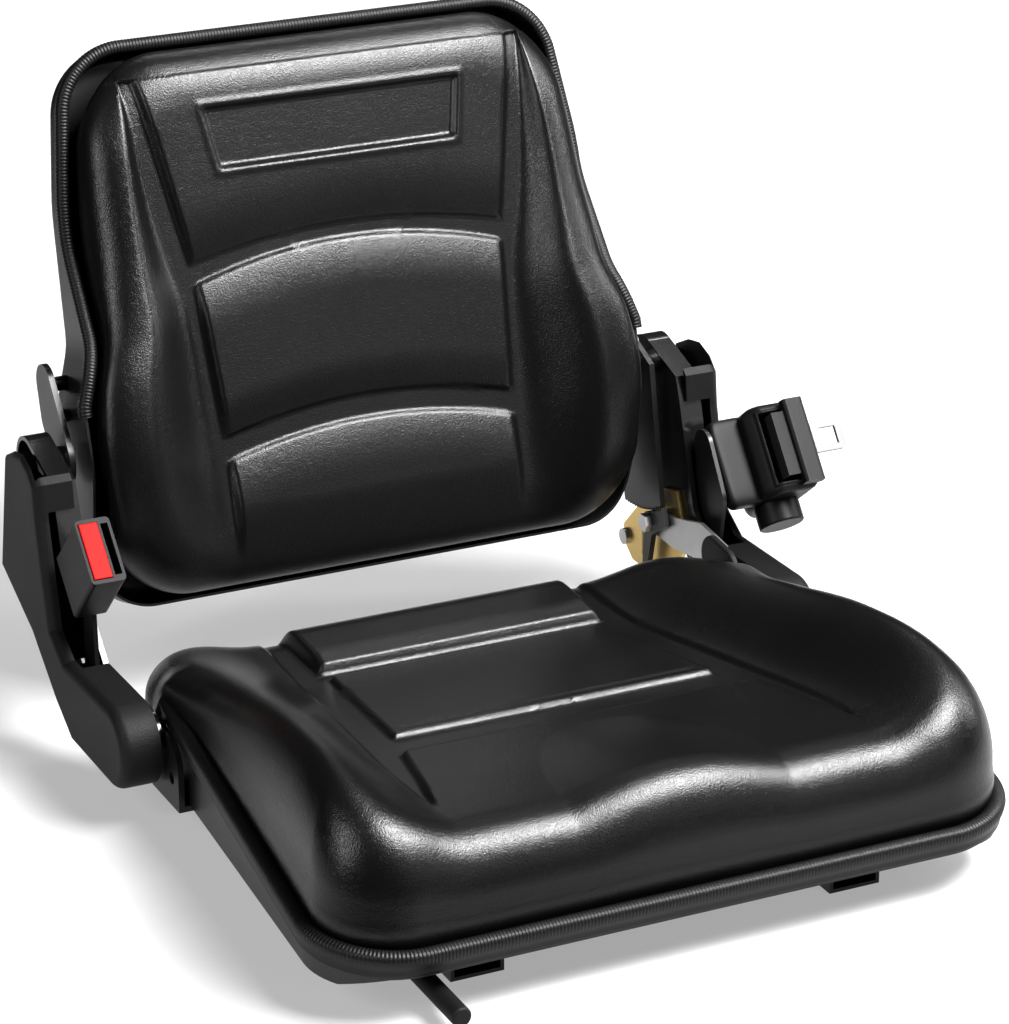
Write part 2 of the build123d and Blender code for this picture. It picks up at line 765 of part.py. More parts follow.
# Hinge bolts, flush in the hinge plate, each with a spacer between plate and shell
with BuildPart() as hinge_bolts:
    with BuildSketch(side_plane(hinge_x)):
        with Locations(*hinge_bolt_points):
            Circle(hinge_bolt_radius)
    extrude(amount=hinge_sheet)
    with BuildSketch(side_plane(hinge_x)):
        with Locations(*hinge_bolt_points):
            Circle(hinge_bolt_radius + 1.0)
    extrude(amount=-(hinge_x - back_waist_half + 2 * shell_sheet))
    mirror(about=Plane.YZ)

# Back rim: it lies flat round the top and comes forward into two wings beside the waist
rim_low_s = 70.0
wing_low_s = 150.0
wing_high_s = 215.0
rim_high_s = 300.0
wing_reach = 35.0
wing_radius = 60.0


def rim_strip(front, back):
    """The side view of a strip along the rim, from front to back of it, in y and z."""
    bends = [(rim_low_s, 0.0), (wing_low_s, wing_reach), (wing_high_s, wing_reach), (rim_high_s, 0.0)]
    with BuildSketch() as face:
        with BuildLine():
            runs = [(-back_bottom_s, 0.0)] + bends + [(back_top_s + back_bottom_s, 0.0)]
            near = [back_point(s, rim_depth - forward + front) for s, forward in runs]
            far = [back_point(s, rim_depth - forward + back) for s, forward in reversed(runs)]
            Polyline(*near, *far, close=True)
        make_face()
        corners = near[1:-1] + far[1:-1]
        fillet([v for v in face.vertices() if min(math.dist((v.X, v.Y), c) for c in corners) < 0.01], wing_radius)
    return face.sketch


# Back shell: a pressed tray with rounded back edges and a rim cut to the wings
aft_axis = Axis(back_foot, back_aft)
shell_front = rim_depth - wing_reach - 2 * shell_sheet
with BuildPart() as shell_hollow:
    with BuildSketch(back_plane(shell_front)):
        add(back_face(-shell_sheet))
    extrude(amount=-(rim_depth - shell_front + shell_depth - shell_sheet))
    fillet(shell_hollow.faces().sort_by(aft_axis)[-1].edges(), shell_edge_radius - shell_sheet)
with BuildPart() as back_shell:
    with BuildSketch(back_plane(shell_front)):
        add(back_face(0))
    extrude(amount=-(rim_depth - shell_front + shell_depth))
    fillet(back_shell.faces().sort_by(aft_axis)[-1].edges(), shell_edge_radius)
    add(shell_hollow.part, mode=Mode.SUBTRACT)
    with BuildSketch(side_plane(0)):
        add(rim_strip(-2 * wing_reach, 0))
    extrude(amount=seat_front_half, both=True, mode=Mode.SUBTRACT)
    with BuildSketch(side_plane(0)):
        with Locations(*hinge_bolt_points):
            Circle(hinge_bolt_radius + 1.0 + hole_clearance)
    extrude(amount=seat_front_half, both=True, mode=Mode.SUBTRACT)
save(back_shell, "back_shell")
save(hinge_bolts, "hinge_bolts")

# Back edge trim: a U section pushed over the shell's rim, ending on the wings
with BuildPart() as trim_strip:
    with BuildSketch(side_plane(0)):
        add(rim_strip(back_trim_front - rim_depth, back_trim_front - rim_depth + back_trim_height))
    extrude(amount=seat_front_half, both=True)
with BuildPart() as groove_strip:
    with BuildSketch(side_plane(0)):
        add(rim_strip(-slot_clearance, 2 * back_trim_height))
    extrude(amount=seat_front_half, both=True)
with BuildPart() as back_groove:
    with BuildSketch(back_plane(shell_front - back_trim_height)):
        add(back_face(slot_clearance))
        add(back_face(-shell_sheet - slot_clearance), mode=Mode.SUBTRACT)
    extrude(amount=-2 * wing_reach - 2 * back_trim_height)
    add(groove_strip.part, mode=Mode.INTERSECT)
with BuildPart() as back_trim:
    with BuildSketch(back_plane(shell_front - back_trim_height)):
        add(back_face(back_trim_out))
        add(back_face(-back_trim_in), mode=Mode.SUBTRACT)
    extrude(amount=-2 * wing_reach - 2 * back_trim_height)
    add(trim_strip.part, mode=Mode.INTERSECT)
    add(back_groove.part, mode=Mode.SUBTRACT)
    with BuildSketch(back_plane(0)):
        with Locations((0, back_trim_end_s)):
            Rectangle(2 * seat_front_half, back_top_s, align=(Align.CENTER, Align.MAX))
    extrude(amount=2 * back_top_s, both=True, mode=Mode.SUBTRACT)
save(back_trim, "back_trim")

# Back cushion: sections up the backrest
# Rows hold s, the inset from the hip, how far the bolster stands out, and the depths of middle and edge
back_rows = (
    (54.0, 59.0, -16.0, 18.0, 21.0),
    (64.0, 31.0, -2.0, 6.0, 20.0),
    (88.0, 14.0, 12.0, 0.0, 16.0),
    (130.0, 9.0, 22.0, 0.0, 2.0),
    (175.0, 8.0, 26.0, 0.0, -5.0),
    (200.0, 11.5, 25.0, 0.0, -5.0),
    (237.0, 22.0, 20.0, 0.0, 3.0),
    (270.0, 23.0, 15.0, 0.0, 14.0),
    (320.0, 25.0, 10.0, 0.0, 19.0),
    (360.0, 31.0, 7.0, 0.0, 19.0),
    (392.0, 40.0, 3.0, 2.0, 19.0),
    (412.0, 55.0, -4.0, 8.0, 20.0),
    (421.5, 75.0, -16.0, 18.0, 21.0),
)
back_bolster_share = 0.82
back_seam_share = 0.56
back_tuck = 4.0
with BuildPart() as back_cushion:
    for s, inset, proud, middle, edge in back_rows:
        half = back_hip_half - inset
        with BuildSketch(Plane(origin=back_foot + back_up * s, x_dir=(1, 0, 0), z_dir=back_up)):
            with BuildLine():
                right = [
                    (half * back_seam_share, middle),
                    (half * back_bolster_share, -proud),
                    (half, edge),
                ]
                left = [(-x, d) for x, d in reversed(right)]
                Spline(*left, (0, middle), *right)
                Polyline(
                    (half, edge),
                    (half - back_tuck, cushion_back_depth),
                    (back_tuck - half, cushion_back_depth),
                    (-half, edge),
                )
            make_face()
    loft()
save(back_cushion, "back_cushion")

# Recline pawl: a rocker under the sector, its teeth just clear of the sector's tips
pawl_tip_radius = sector_radius + pawl_clearance
pawl_points = []
for tooth in range(pawl_teeth):
    first_deg = pawl_first_deg + tooth * tooth_pitch_deg
    pawl_points.append(polar_point(pawl_tip_radius, first_deg))
    pawl_points.append(polar_point(pawl_tip_radius + tooth_depth, first_deg + tooth_pitch_deg / 2))
pawl_last_deg = pawl_first_deg + pawl_teeth * tooth_pitch_deg
pawl_points.append(polar_point(pawl_tip_radius, pawl_last_deg))
pawl_points.append(polar_point(pawl_tip_radius + 14.0, pawl_last_deg))
pawl_points.append((pawl_y - 6.0, pawl_z - pawl_boss_radius))
pawl_points.append((pawl_y + pawl_boss_radius - 1.0, pawl_z + 1.0))
with BuildPart() as recline_pawl:
    with BuildSketch(side_plane(hinge_x)):
        add(closed_face(pawl_points))
        with Locations((pawl_y, pawl_z)):
            Circle(pawl_boss_radius)
        add(closed_face([
            (pawl_y - 7.0, pawl_z - 2.0),
            (pawl_y + 1.0, pawl_z - 36.0),
            (pawl_y + 8.0, pawl_z - 36.0),
            (pawl_y + 7.0, pawl_z - 2.0),
        ]))
        with Locations((pawl_y, pawl_z)):
            Circle(pawl_bolt_radius + run_clearance, mode=Mode.SUBTRACT)
    extrude(amount=hinge_sheet)
save(recline_pawl, "recline_pawl")

# Recline lever: a plated strip from the pawl to its grip
grip_y = pawl_y - 112.0
grip_z = pawl_z + 6.0
with BuildPart() as recline_lever:
    with BuildSketch(side_plane(lever_x)):
        add(closed_face([
            (pawl_y + 6.0, pawl_z - 9.0),
            (pawl_y + 6.0, pawl_z + 7.0),
            (pawl_y - 40.0, pawl_z + 16.0),
            (pawl_y - 70.0, pawl_z + 24.0),
            (grip_y + 6.0, grip_z + 14.0),
            (grip_y, grip_z - 6.0),
            (pawl_y - 72.0, pawl_z - 4.0),
            (pawl_y - 30.0, pawl_z - 10.0),
        ]))
        with Locations((pawl_y, pawl_z)):
            Circle(pawl_bolt_radius + run_clearance, mode=Mode.SUBTRACT)
    extrude(amount=lever_sheet)
save(recline_lever, "recline_lever")
grip_radius = 15.0
with BuildPart() as recline_grip:
    with BuildSketch(side_plane(hinge_x + face_clearance)):
        with Locations((grip_y - 2.0, grip_z), (grip_y + 18.0, grip_z + 2.0)):
            Circle(grip_radius)
        make_hull()
    extrude(amount=lever_x - hinge_x - face_clearance)
    fillet(recline_grip.faces().sort_by(Axis.X)[0].edges(), 2.0)
save(recline_grip, "recline_grip")

# Pawl bracket: a zinc plated plate on the inner side of the right arm, with a window for the spring
window_height = spring_height + 2 * spring_wire + 2 * face_clearance
with BuildPart() as pawl_bracket:
    with BuildSketch(side_plane(bracket_plate_x)):
        add(closed_face([
            (pawl_y - 42.0, pawl_z - 4.0),
            (pawl_y - 26.0, pawl_z + 32.0),
            (pawl_y - 6.0, pawl_z + 28.0),
            (pawl_y + 28.0, pawl_z + 4.0),
            (pawl_y + 54.0, pawl_z - 22.0),
            (pawl_y + 56.0, pawl_z - 34.0),
            (pawl_y + 40.0, pawl_z - 46.0),
            (pawl_y - 2.0, pawl_z - 46.0),
            (pawl_y - 30.0, pawl_z - 24.0),
        ]))
        with Locations((spring_y, spring_z)):
            Rectangle(2 * spring_radius + 3.0, window_height, mode=Mode.SUBTRACT)
        with Locations((pawl_y, pawl_z), *pawl_plate_bolts):
            Circle(pawl_bolt_radius + hole_clearance, mode=Mode.SUBTRACT)
        with Locations((pawl_y + 50.0, pawl_z - 31.0)):
            Circle(3.5 + hole_clearance, mode=Mode.SUBTRACT)
    extrude(amount=arm_inner_x - bracket_plate_x)
save(pawl_bracket, "pawl_bracket")
with BuildPart() as pawl_bracket_bolts:
    add(bolt_row(pawl_plate_bolts, arm_outer_x, bolt_head_height, bracket_plate_x,
                 bolt_radius, bolt_head_radius - 1.0).part)
save(pawl_bracket_bolts, "pawl_bracket_bolts")
with BuildPart() as pawl_pivot_bolt:
    with BuildSketch(side_plane(hinge_x - face_clearance)):
        with Locations((pawl_y, pawl_z)):
            RegularPolygon(bolt_head_radius, 6)
    extrude(amount=-bolt_head_height)
    with BuildSketch(side_plane(hinge_x - face_clearance)):
        with Locations((pawl_y, pawl_z)):
            Circle(pawl_bolt_radius)
    extrude(amount=arm_inner_x - hinge_x + face_clearance)
    with BuildSketch(side_plane(arm_inner_x)):
        with Locations((pawl_y, pawl_z)):
            Circle(bolt_head_radius)
    extrude(amount=nut_height)
save(pawl_pivot_bolt, "pawl_pivot_bolt")
with BuildPart() as stop_pin:
    with BuildSketch(side_plane(bracket_plate_x - nut_height)):
        with Locations((pawl_y + 50.0, pawl_z - 31.0)):
            Circle(6.0)
    extrude(amount=nut_height)
    with BuildSketch(side_plane(bracket_plate_x)):
        with Locations((pawl_y + 50.0, pawl_z - 31.0)):
            Circle(3.5)
    extrude(amount=arm_inner_x - bracket_plate_x)
save(stop_pin, "stop_pin")

# Pawl spring: a coil standing in the bracket's window
spring_x = bracket_plate_x + 1.75
with BuildPart() as pawl_spring:
    with BuildLine() as coil:
        Helix(
            pitch=spring_height / spring_turns,
            height=spring_height,
            radius=spring_radius - spring_wire,
            center=(spring_x, spring_y, spring_z - spring_height / 2),
        )
    with BuildSketch(Plane(origin=coil.line @ 0, z_dir=coil.line % 0)):
        Circle(spring_wire)
    sweep(is_frenet=True)
save(pawl_spring, "pawl_spring")

# Slide lever bracket under the pan, with the lever's pin
slide_pivot_x = slide_lever_x + 2.0
rail_face_x = -(rail_spacing + rail_width) / 2
with BuildPart() as lever_bracket:
    with BuildSketch(Plane.XY.offset(pan_floor_z - bracket_sheet)):
        with Locations((slide_pivot_x, slide_pivot_y)):
            Rectangle(26.0, 34.0)
    extrude(amount=bracket_sheet)
    with BuildSketch(Plane.XY.offset(pan_floor_z - bracket_sheet)):
        with Locations((slide_pivot_x, slide_pivot_y)):
            Circle(slide_pin_radius)
    extrude(amount=-(pan_floor_z - bracket_sheet - slide_lever_z + slide_rod_radius + face_clearance))
    with BuildSketch(Plane.XY.offset(slide_lever_z - slide_rod_radius - face_clearance)):
        with Locations((slide_pivot_x, slide_pivot_y)):
            Circle(slide_pin_radius + 3.0)
    extrude(amount=-3.0)
save(lever_bracket, "lever_bracket")

# Slide lever: a rod with an eye on the pin and lock teeth beside the left rail
lock_plate_z = rail_height / 2
with BuildPart() as slide_lever:
    with BuildSketch(Plane(origin=(slide_lever_x, slide_tip_y + slide_sleeve_length / 2, slide_lever_z),
                           x_dir=(1, 0, 0), z_dir=(0, 1, 0))):
        Circle(slide_rod_radius)
    extrude(amount=slide_pivot_y - slide_tip_y - slide_sleeve_length / 2 - slide_eye_radius / 2)
    with BuildSketch(Plane.XY.offset(slide_lever_z - slide_rod_radius)):
        with Locations((slide_pivot_x, slide_pivot_y)):
            Circle(slide_eye_radius)
    extrude(amount=2 * slide_rod_radius)
    with BuildSketch(Plane.XY.offset(lock_plate_z - lock_plate_sheet / 2)):
        with Locations(((slide_lever_x + rail_face_x - 5.0) / 2, lock_center_y)):
            Rectangle(rail_face_x - 5.0 - slide_lever_x, lock_teeth * lock_slot_pitch)
        with Locations((rail_face_x - face_clearance, lock_center_y)):
            with GridLocations(0, lock_slot_pitch, 1, lock_teeth):
                Rectangle(6.0, lock_slot_width - 2.0, align=(Align.MAX, Align.CENTER))
    extrude(amount=slide_lever_z - lock_plate_z)
    with BuildSketch(Plane.XY):
        with Locations((slide_pivot_x, slide_pivot_y)):
            Circle(slide_pin_radius + run_clearance)
    extrude(amount=rail_stack_height, mode=Mode.SUBTRACT)
save(slide_lever, "slide_lever")
with BuildPart() as slide_sleeve:
    with BuildSketch(Plane(origin=(slide_lever_x, slide_tip_y, slide_lever_z),
                           x_dir=(1, 0, 0), z_dir=(0, 1, 0))):
        Circle(slide_sleeve_radius)
    extrude(amount=slide_sleeve_length)
    with BuildSketch(Plane(origin=(slide_lever_x, slide_tip_y + slide_sleeve_length / 2, slide_lever_z),
                           x_dir=(1, 0, 0), z_dir=(0, 1, 0))):
        Circle(slide_rod_radius)
    extrude(amount=slide_sleeve_length, mode=Mode.SUBTRACT)
    fillet(slide_sleeve.edges().sort_by(Axis.Y)[0], 2.0)
save(slide_sleeve, "slide_sleeve")

# Buckle: local x is across the buckle's thickness and z points out of its mouth
mouth = Vector(0, -math.cos(math.radians(buckle_tilt_deg)), math.sin(math.radians(buckle_tilt_deg)))
buckle_rear = Vector(buckle_x, buckle_y, buckle_z)


def buckle_plane(depth):
    """A sketch plane square to the buckle's length, depth below its mouth."""
    return Plane(origin=buckle_rear + mouth * (buckle_long - depth), x_dir=(1, 0, 0), z_dir=mouth)


button_x = -buckle_thick / 2 + 2.0 + button_thick / 2
slot_x = buckle_thick / 2 - 2.0 - tongue_slot_thick / 2
with BuildPart() as buckle_housing:
    with BuildSketch(buckle_plane(buckle_long)):
        Rectangle(buckle_thick, buckle_wide)
    extrude(amount=buckle_long)
    fillet(buckle_housing.edges().filter_by(Axis(buckle_rear, mouth)), 3.0)
    chamfer(buckle_housing.faces().sort_by(Axis(buckle_rear, mouth))[0].edges(), 2.0)
    with BuildSketch(buckle_plane(0)):
        with Locations((button_x, 0)):
            Rectangle(button_thick + 2 * face_clearance, button_wide + 2 * face_clearance)
    extrude(amount=-(button_long + button_travel), mode=Mode.SUBTRACT)
    with BuildSketch(buckle_plane(0)):
        with Locations((slot_x, 0)):
            Rectangle(tongue_slot_thick, tongue_slot_wide)
    extrude(amount=-tongue_slot_deep, mode=Mode.SUBTRACT)
save(buckle_housing, "buckle_housing")
with BuildPart() as buckle_button:
    with BuildSketch(buckle_plane(button_long - button_proud)):
        with Locations((button_x, 0)):
            Rectangle(button_thick, button_wide)
    extrude(amount=button_long)
    fillet(buckle_button.faces().sort_by(Axis(buckle_rear, mouth))[-1].edges(), 0.8)
save(buckle_button, "buckle_button")

# Buckle stalk: a steel strap from its anchor eye to the buckle's rear face
eye_radius = 11.0
across = Vector(0, math.sin(math.radians(buckle_tilt_deg)), math.cos(math.radians(buckle_tilt_deg)))
stalk_top = [buckle_rear - across * 12.0, buckle_rear + across * 10.0]
with BuildPart() as buckle_stalk:
    with BuildSketch(side_plane(-strap_x - strap_sheet)):
        add(closed_face([
            (stalk_top[0].Y, stalk_top[0].Z),
            (stalk_top[1].Y, stalk_top[1].Z),
            (anchor_y + eye_radius, anchor_z),
            (anchor_y - eye_radius, anchor_z),
        ]))
        with Locations((anchor_y, anchor_z)):
            Circle(eye_radius)
            Circle(anchor_radius + run_clearance, mode=Mode.SUBTRACT)
    extrude(amount=strap_sheet)
save(buckle_stalk, "buckle_stalk")
anchor_head_radius = 9.0
with BuildPart() as retractor_anchor_bolt:
    with BuildSketch(side_plane(arm_inner_x)):
        with Locations((anchor_y, anchor_z)):
            Circle(anchor_radius)
    extrude(amount=strap_x + strap_sheet + face_clearance - arm_inner_x)
    with BuildSketch(side_plane(arm_outer_x)):
        with Locations((anchor_y, anchor_z)):
            Circle(anchor_head_radius)
    extrude(amount=strap_x - face_clearance - arm_outer_x)
    with BuildSketch(side_plane(strap_x + strap_sheet + face_clearance)):
        with Locations((anchor_y, anchor_z)):
            RegularPolygon(anchor_head_radius, 6)
    extrude(amount=bolt_head_height)
save(retractor_anchor_bolt, "retractor_anchor_bolt")
with BuildPart() as buckle_anchor_bolt:
    mirror(retractor_anchor_bolt.part, about=Plane.YZ)
save(buckle_anchor_bolt, "buckle_anchor_bolt")

# Retractor: local x is across, y points out of its mouth and z runs down its spool
spool_down = Vector(0, -math.sin(math.radians(retractor_tilt_deg)), -math.cos(math.radians(retractor_tilt_deg)))
spool_out = Vector(0, -math.cos(math.radians(retractor_tilt_deg)), math.sin(math.radians(retractor_tilt_deg)))
retractor_center = Vector(retractor_x, retractor_y, retractor_z)
housing_back = strap_x + strap_sheet - retractor_x


def spool_plane(along):
    """A sketch plane square to the spool, a distance along it from the retractor's middle."""
    return Plane(origin=retractor_center + spool_down * along, x_dir=(1, 0, 0), z_dir=spool_down)


drum_flat = cover_face_x + 2 * face_clearance - retractor_x
mouth_left = drum_flat
mouth_right = drum_radius
with BuildPart() as retractor_housing:
    with BuildSketch(spool_plane(-drum_length / 2)):
        Circle(drum_radius)
        with Locations((drum_flat, 0)):
            Rectangle(drum_radius, 2 * drum_radius, align=(Align.MAX, Align.CENTER), mode=Mode.SUBTRACT)
        with Locations((mouth_left, 0)):
            Rectangle(mouth_right - mouth_left, mouth_depth, align=(Align.MIN, Align.MIN))
        with Locations((housing_back, 0)):
            Rectangle(drum_radius, drum_radius / 2, align=(Align.MIN, Align.MIN))
    extrude(amount=drum_length)
    fillet(retractor_housing.faces().sort_by(Axis(retractor_center, spool_down))[-1].edges(), housing_edge_radius)
    fillet(retractor_housing.faces().sort_by(Axis(retractor_center, spool_down))[0].edges(), housing_edge_radius)
    with BuildSketch(spool_plane(-webbing_width / 2 - 2.0)):
        with Locations((mouth_left + 6.0, mouth_depth - 16.0)):
            Rectangle(mouth_right - mouth_left - 12.0, 2 * mouth_depth, align=(Align.MIN, Align.MIN))
    extrude(amount=webbing_width + 4.0, mode=Mode.SUBTRACT)
save(retractor_housing, "retractor_housing")
cap_x = 8.0
with BuildPart() as spool_cap:
    with BuildSketch(spool_plane(drum_length / 2)):
        with Locations((cap_x, 0)):
            Circle(cap_radius)
    extrude(amount=cap_length)
    fillet(spool_cap.faces().sort_by(Axis(retractor_center, spool_down))[-1].edges(), 1.5)
save(spool_cap, "spool_cap")
with BuildPart() as retractor_bracket:
    with BuildSketch(side_plane(strap_x)):
        with Locations((anchor_y, anchor_z), (retractor_y - 11.0, retractor_z - 16.0),
                       (retractor_y + 9.0, retractor_z + 16.0)):
            Circle(eye_radius + 1.0)
        make_hull()
        with Locations((anchor_y, anchor_z)):
            Circle(anchor_radius + hole_clearance, mode=Mode.SUBTRACT)
    extrude(amount=strap_sheet)
save(retractor_bracket, "retractor_bracket")

# Tongue, parked on the retractor's mouth with the webbing through it
bar_left = 13.0
bar_right = 29.0
bar_thick = 9.0
bar_length = 62.0
bar_y = mouth_depth + face_clearance
with BuildPart() as tongue_body:
    with BuildSketch(spool_plane(-bar_length / 2)):
        with Locations((bar_left, bar_y)):
            Rectangle(bar_right - bar_left, bar_thick, align=(Align.MIN, Align.MIN))
    extrude(amount=bar_length)
    fillet(tongue_body.edges().filter_by(Axis(retractor_center, spool_down)), 3.0)
save(tongue_body, "tongue_body")
tongue_reach = 25.0
tongue_half = 11.0
tongue_sheet = 2.6
with BuildPart() as tongue_plate:
    with BuildSketch(Plane(origin=retractor_center + spool_out * (bar_y + bar_thick / 2 - tongue_sheet / 2),
                           x_dir=(1, 0, 0), z_dir=spool_out)):
        with Locations((bar_right, 0)):
            Rectangle(tongue_reach, 2 * tongue_half, align=(Align.MIN, Align.CENTER))
        with Locations((bar_right + tongue_reach / 2 + 1.0, 0)):
            Rectangle(tongue_reach / 2, tongue_half + 2.0, mode=Mode.SUBTRACT)
    extrude(amount=tongue_sheet)
    fillet(tongue_plate.edges().filter_by(Axis(retractor_center, spool_out)).group_by(Axis.X)[-1], 4.0)
save(tongue_plate, "tongue_plate")
with BuildPart() as belt_webbing:
    with BuildSketch(spool_plane(-webbing_width / 2)):
        with Locations((mouth_left + 14.0, mouth_depth - 16.0)):
            Rectangle(webbing_thick, 16.0 + bar_thick / 2, align=(Align.MIN, Align.MIN))
        with Locations((mouth_left + 14.0, mouth_depth + bar_thick / 2)):
            Rectangle(bar_left - mouth_left - 14.0, webbing_thick, align=(Align.MIN, Align.CENTER))
    extrude(amount=webbing_width)
save(belt_webbing, "belt_webbing")
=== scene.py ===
# %% [markdown]
# This lesson dresses a tractor seat: two moulded vinyl cushions in pressed steel trays, ribbed edge
# trims, plastic arm covers, a toothed recliner, slide rails and a lap belt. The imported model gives
# every size and every moving body, so each new surface is worked out in the same frame.

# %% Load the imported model
import json

import bpy
import numpy as np
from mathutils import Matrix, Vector


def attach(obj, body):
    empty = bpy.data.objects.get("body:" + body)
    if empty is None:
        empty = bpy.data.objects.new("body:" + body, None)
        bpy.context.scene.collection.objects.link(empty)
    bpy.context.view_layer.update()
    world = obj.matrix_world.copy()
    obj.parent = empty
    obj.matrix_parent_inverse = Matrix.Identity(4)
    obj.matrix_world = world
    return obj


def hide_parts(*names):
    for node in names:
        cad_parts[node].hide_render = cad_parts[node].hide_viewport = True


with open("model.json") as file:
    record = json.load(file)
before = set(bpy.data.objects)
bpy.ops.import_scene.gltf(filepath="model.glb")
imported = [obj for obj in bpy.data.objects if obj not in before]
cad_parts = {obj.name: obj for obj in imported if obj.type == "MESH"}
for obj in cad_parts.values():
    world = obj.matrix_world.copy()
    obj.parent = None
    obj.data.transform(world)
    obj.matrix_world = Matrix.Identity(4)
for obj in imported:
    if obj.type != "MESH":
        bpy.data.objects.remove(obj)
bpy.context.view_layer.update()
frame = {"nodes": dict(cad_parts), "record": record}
nodes = frame["nodes"]
print("packed nodes:", len(nodes))

# %% [markdown]
# The camera stands where the photographer stood, in front of the seat and a little to one side, with a
# long lens. Its place was solved from the seat's straight edges, so here it is only set.

# %% Camera
camera_data = bpy.data.cameras.new("photo_camera")
camera_data.lens = 140.86
camera_data.sensor_width = 36.0
camera_data.clip_end = 30.0
camera = bpy.data.objects.new("photo_camera", camera_data)
bpy.context.scene.collection.objects.link(camera)
azimuth, elevation = np.radians((-25.72, 22.23))
camera_back = Vector((
    np.sin(azimuth) * np.cos(elevation),
    -np.cos(azimuth) * np.cos(elevation),
    np.sin(elevation),
))
camera.location = (-1.0474, -2.11814, 1.18008)
camera.rotation_euler = camera_back.to_track_quat("Z", "Y").to_euler()
bpy.context.scene.camera = camera
print("camera stands", round(camera.location.length, 2), "m from the rails")

# %% [markdown]
# Black vinyl shows its shape only by what it mirrors. One large soft box above the front right draws the
# long pale bands along the rolls, a faint one in front lifts the back's panels, and a tall strip on each
# side draws the streaks down the bolsters. A last box is turned away from the seat and only whitens the
# far floor. The room is dim, so the front wall stays deep, and only the camera sees a pale backdrop. The
# floor is a mid grey sheet that glows a little, which keeps its shadows light, and it ends just in front of
# the seat. A gamma under 1 gives the picture the deep blacks of a product photograph.

# %% Floor and light
def soft_box(name, place, target, size, power):
    """An area light at place that faces target, size in metres and power in watts."""
    data = bpy.data.lights.new(name, "AREA")
    data.shape = "RECTANGLE"
    data.size, data.size_y = size
    data.energy = power
    lamp = bpy.data.objects.new(name, data)
    lamp.location = place
    lamp.rotation_euler = (Vector(place) - Vector(target)).to_track_quat("Z", "Y").to_euler()
    bpy.context.scene.collection.objects.link(lamp)
    return lamp


soft_box("box_key", (0.84, -0.87, 1.95), (0.0, -0.05, 0.15), (1.3, 0.95), 190)
soft_box("box_front", (1.0, -2.4, 0.95), (0.0, 0.2, 0.3), (1.3, 0.7), 6.0)
soft_box("box_left", (-2.2, -0.6, 1.3), (0, 0.15, 0.3), (0.2, 1.3), 30)
soft_box("box_right", (2.3, -0.3, 1.3), (0, 0.1, 0.2), (0.25, 1.3), 34)
soft_box("box_far", (0.8, 1.2, 2.0), (1.3, 3.4, 0.0), (1.4, 0.8), 75)

world = bpy.data.worlds.new("pale_room")
bpy.context.scene.world = world
world.use_nodes = True
room = world.node_tree
dim_room = room.nodes["Background"]
dim_room.inputs["Color"].default_value = (1.0, 1.0, 1.0, 1.0)
dim_room.inputs["Strength"].default_value = 0.03
pale_wall = room.nodes.new("ShaderNodeBackground")
pale_wall.inputs["Color"].default_value = (1.0, 1.0, 1.0, 1.0)
pale_wall.inputs["Strength"].default_value = 1.0
ray_kind = room.nodes.new("ShaderNodeLightPath")
backdrop = room.nodes.new("ShaderNodeMixShader")
room.links.new(ray_kind.outputs["Is Camera Ray"], backdrop.inputs[0])
room.links.new(dim_room.outputs[0], backdrop.inputs[1])
room.links.new(pale_wall.outputs[0], backdrop.inputs[2])
room.links.new(backdrop.outputs[0], room.nodes["World Output"].inputs["Surface"])
bpy.context.scene.view_settings.view_transform = "Standard"
bpy.context.scene.view_settings.gamma = 0.85

floor_mesh = bpy.data.meshes.new("floor")
ahead, aside = np.array([0.434, 0.901]), np.array([0.901, -0.434])
near_edge, far_edge = -0.43 * ahead, 4.0 * ahead
near_half, far_half = 1.1 * aside, 1.6 * aside
floor_plan = [near_edge - near_half, near_edge + near_half, far_edge + far_half, far_edge - far_half]
floor_mesh.from_pydata([(x, y, -0.001) for x, y in floor_plan], [], [(0, 1, 2, 3)])
floor = bpy.data.objects.new("floor", floor_mesh)
bpy.context.scene.collection.objects.link(floor)

# %% [markdown]
# Every finish here breaks up its gloss at a small scale: vinyl has a pebbled grain crossed by fine
# creases, moulded plastic a sandy bloom, paint a faint orange peel. One node group makes the pebbles and
# creases and one makes the bloom, so each material only chooses its own sizes.

# %% Shared grain groups
def new_group(name, inputs, outputs):
    """A shader node group with float or vector sockets, given as (name, kind, default)."""
    group = bpy.data.node_groups.new(name, "ShaderNodeTree")
    for label, kind, default in inputs:
        socket = group.interface.new_socket(label, in_out="INPUT", socket_type=kind)
        if default is not None:
            socket.default_value = default
    for label, kind in outputs:
        group.interface.new_socket(label, in_out="OUTPUT", socket_type=kind)
    return group, group.nodes.new("NodeGroupInput"), group.nodes.new("NodeGroupOutput")


def add_node(tree, kind, settings=None, values=None):
    """A node with its settings and its unlinked socket values."""
    node = tree.nodes.new(kind)
    for key, value in (settings or {}).items():
        setattr(node, key, value)
    for key, value in (values or {}).items():
        node.inputs[key].default_value = value
    return node


def math_node(tree, operation, first, second):
    """A math node whose two inputs are sockets or numbers."""
    node = tree.nodes.new("ShaderNodeMath")
    node.operation = operation
    for slot, value in enumerate((first, second)):
        if isinstance(value, (int, float)):
            node.inputs[slot].default_value = value
        else:
            tree.links.new(value, node.inputs[slot])
    return node.outputs[0]


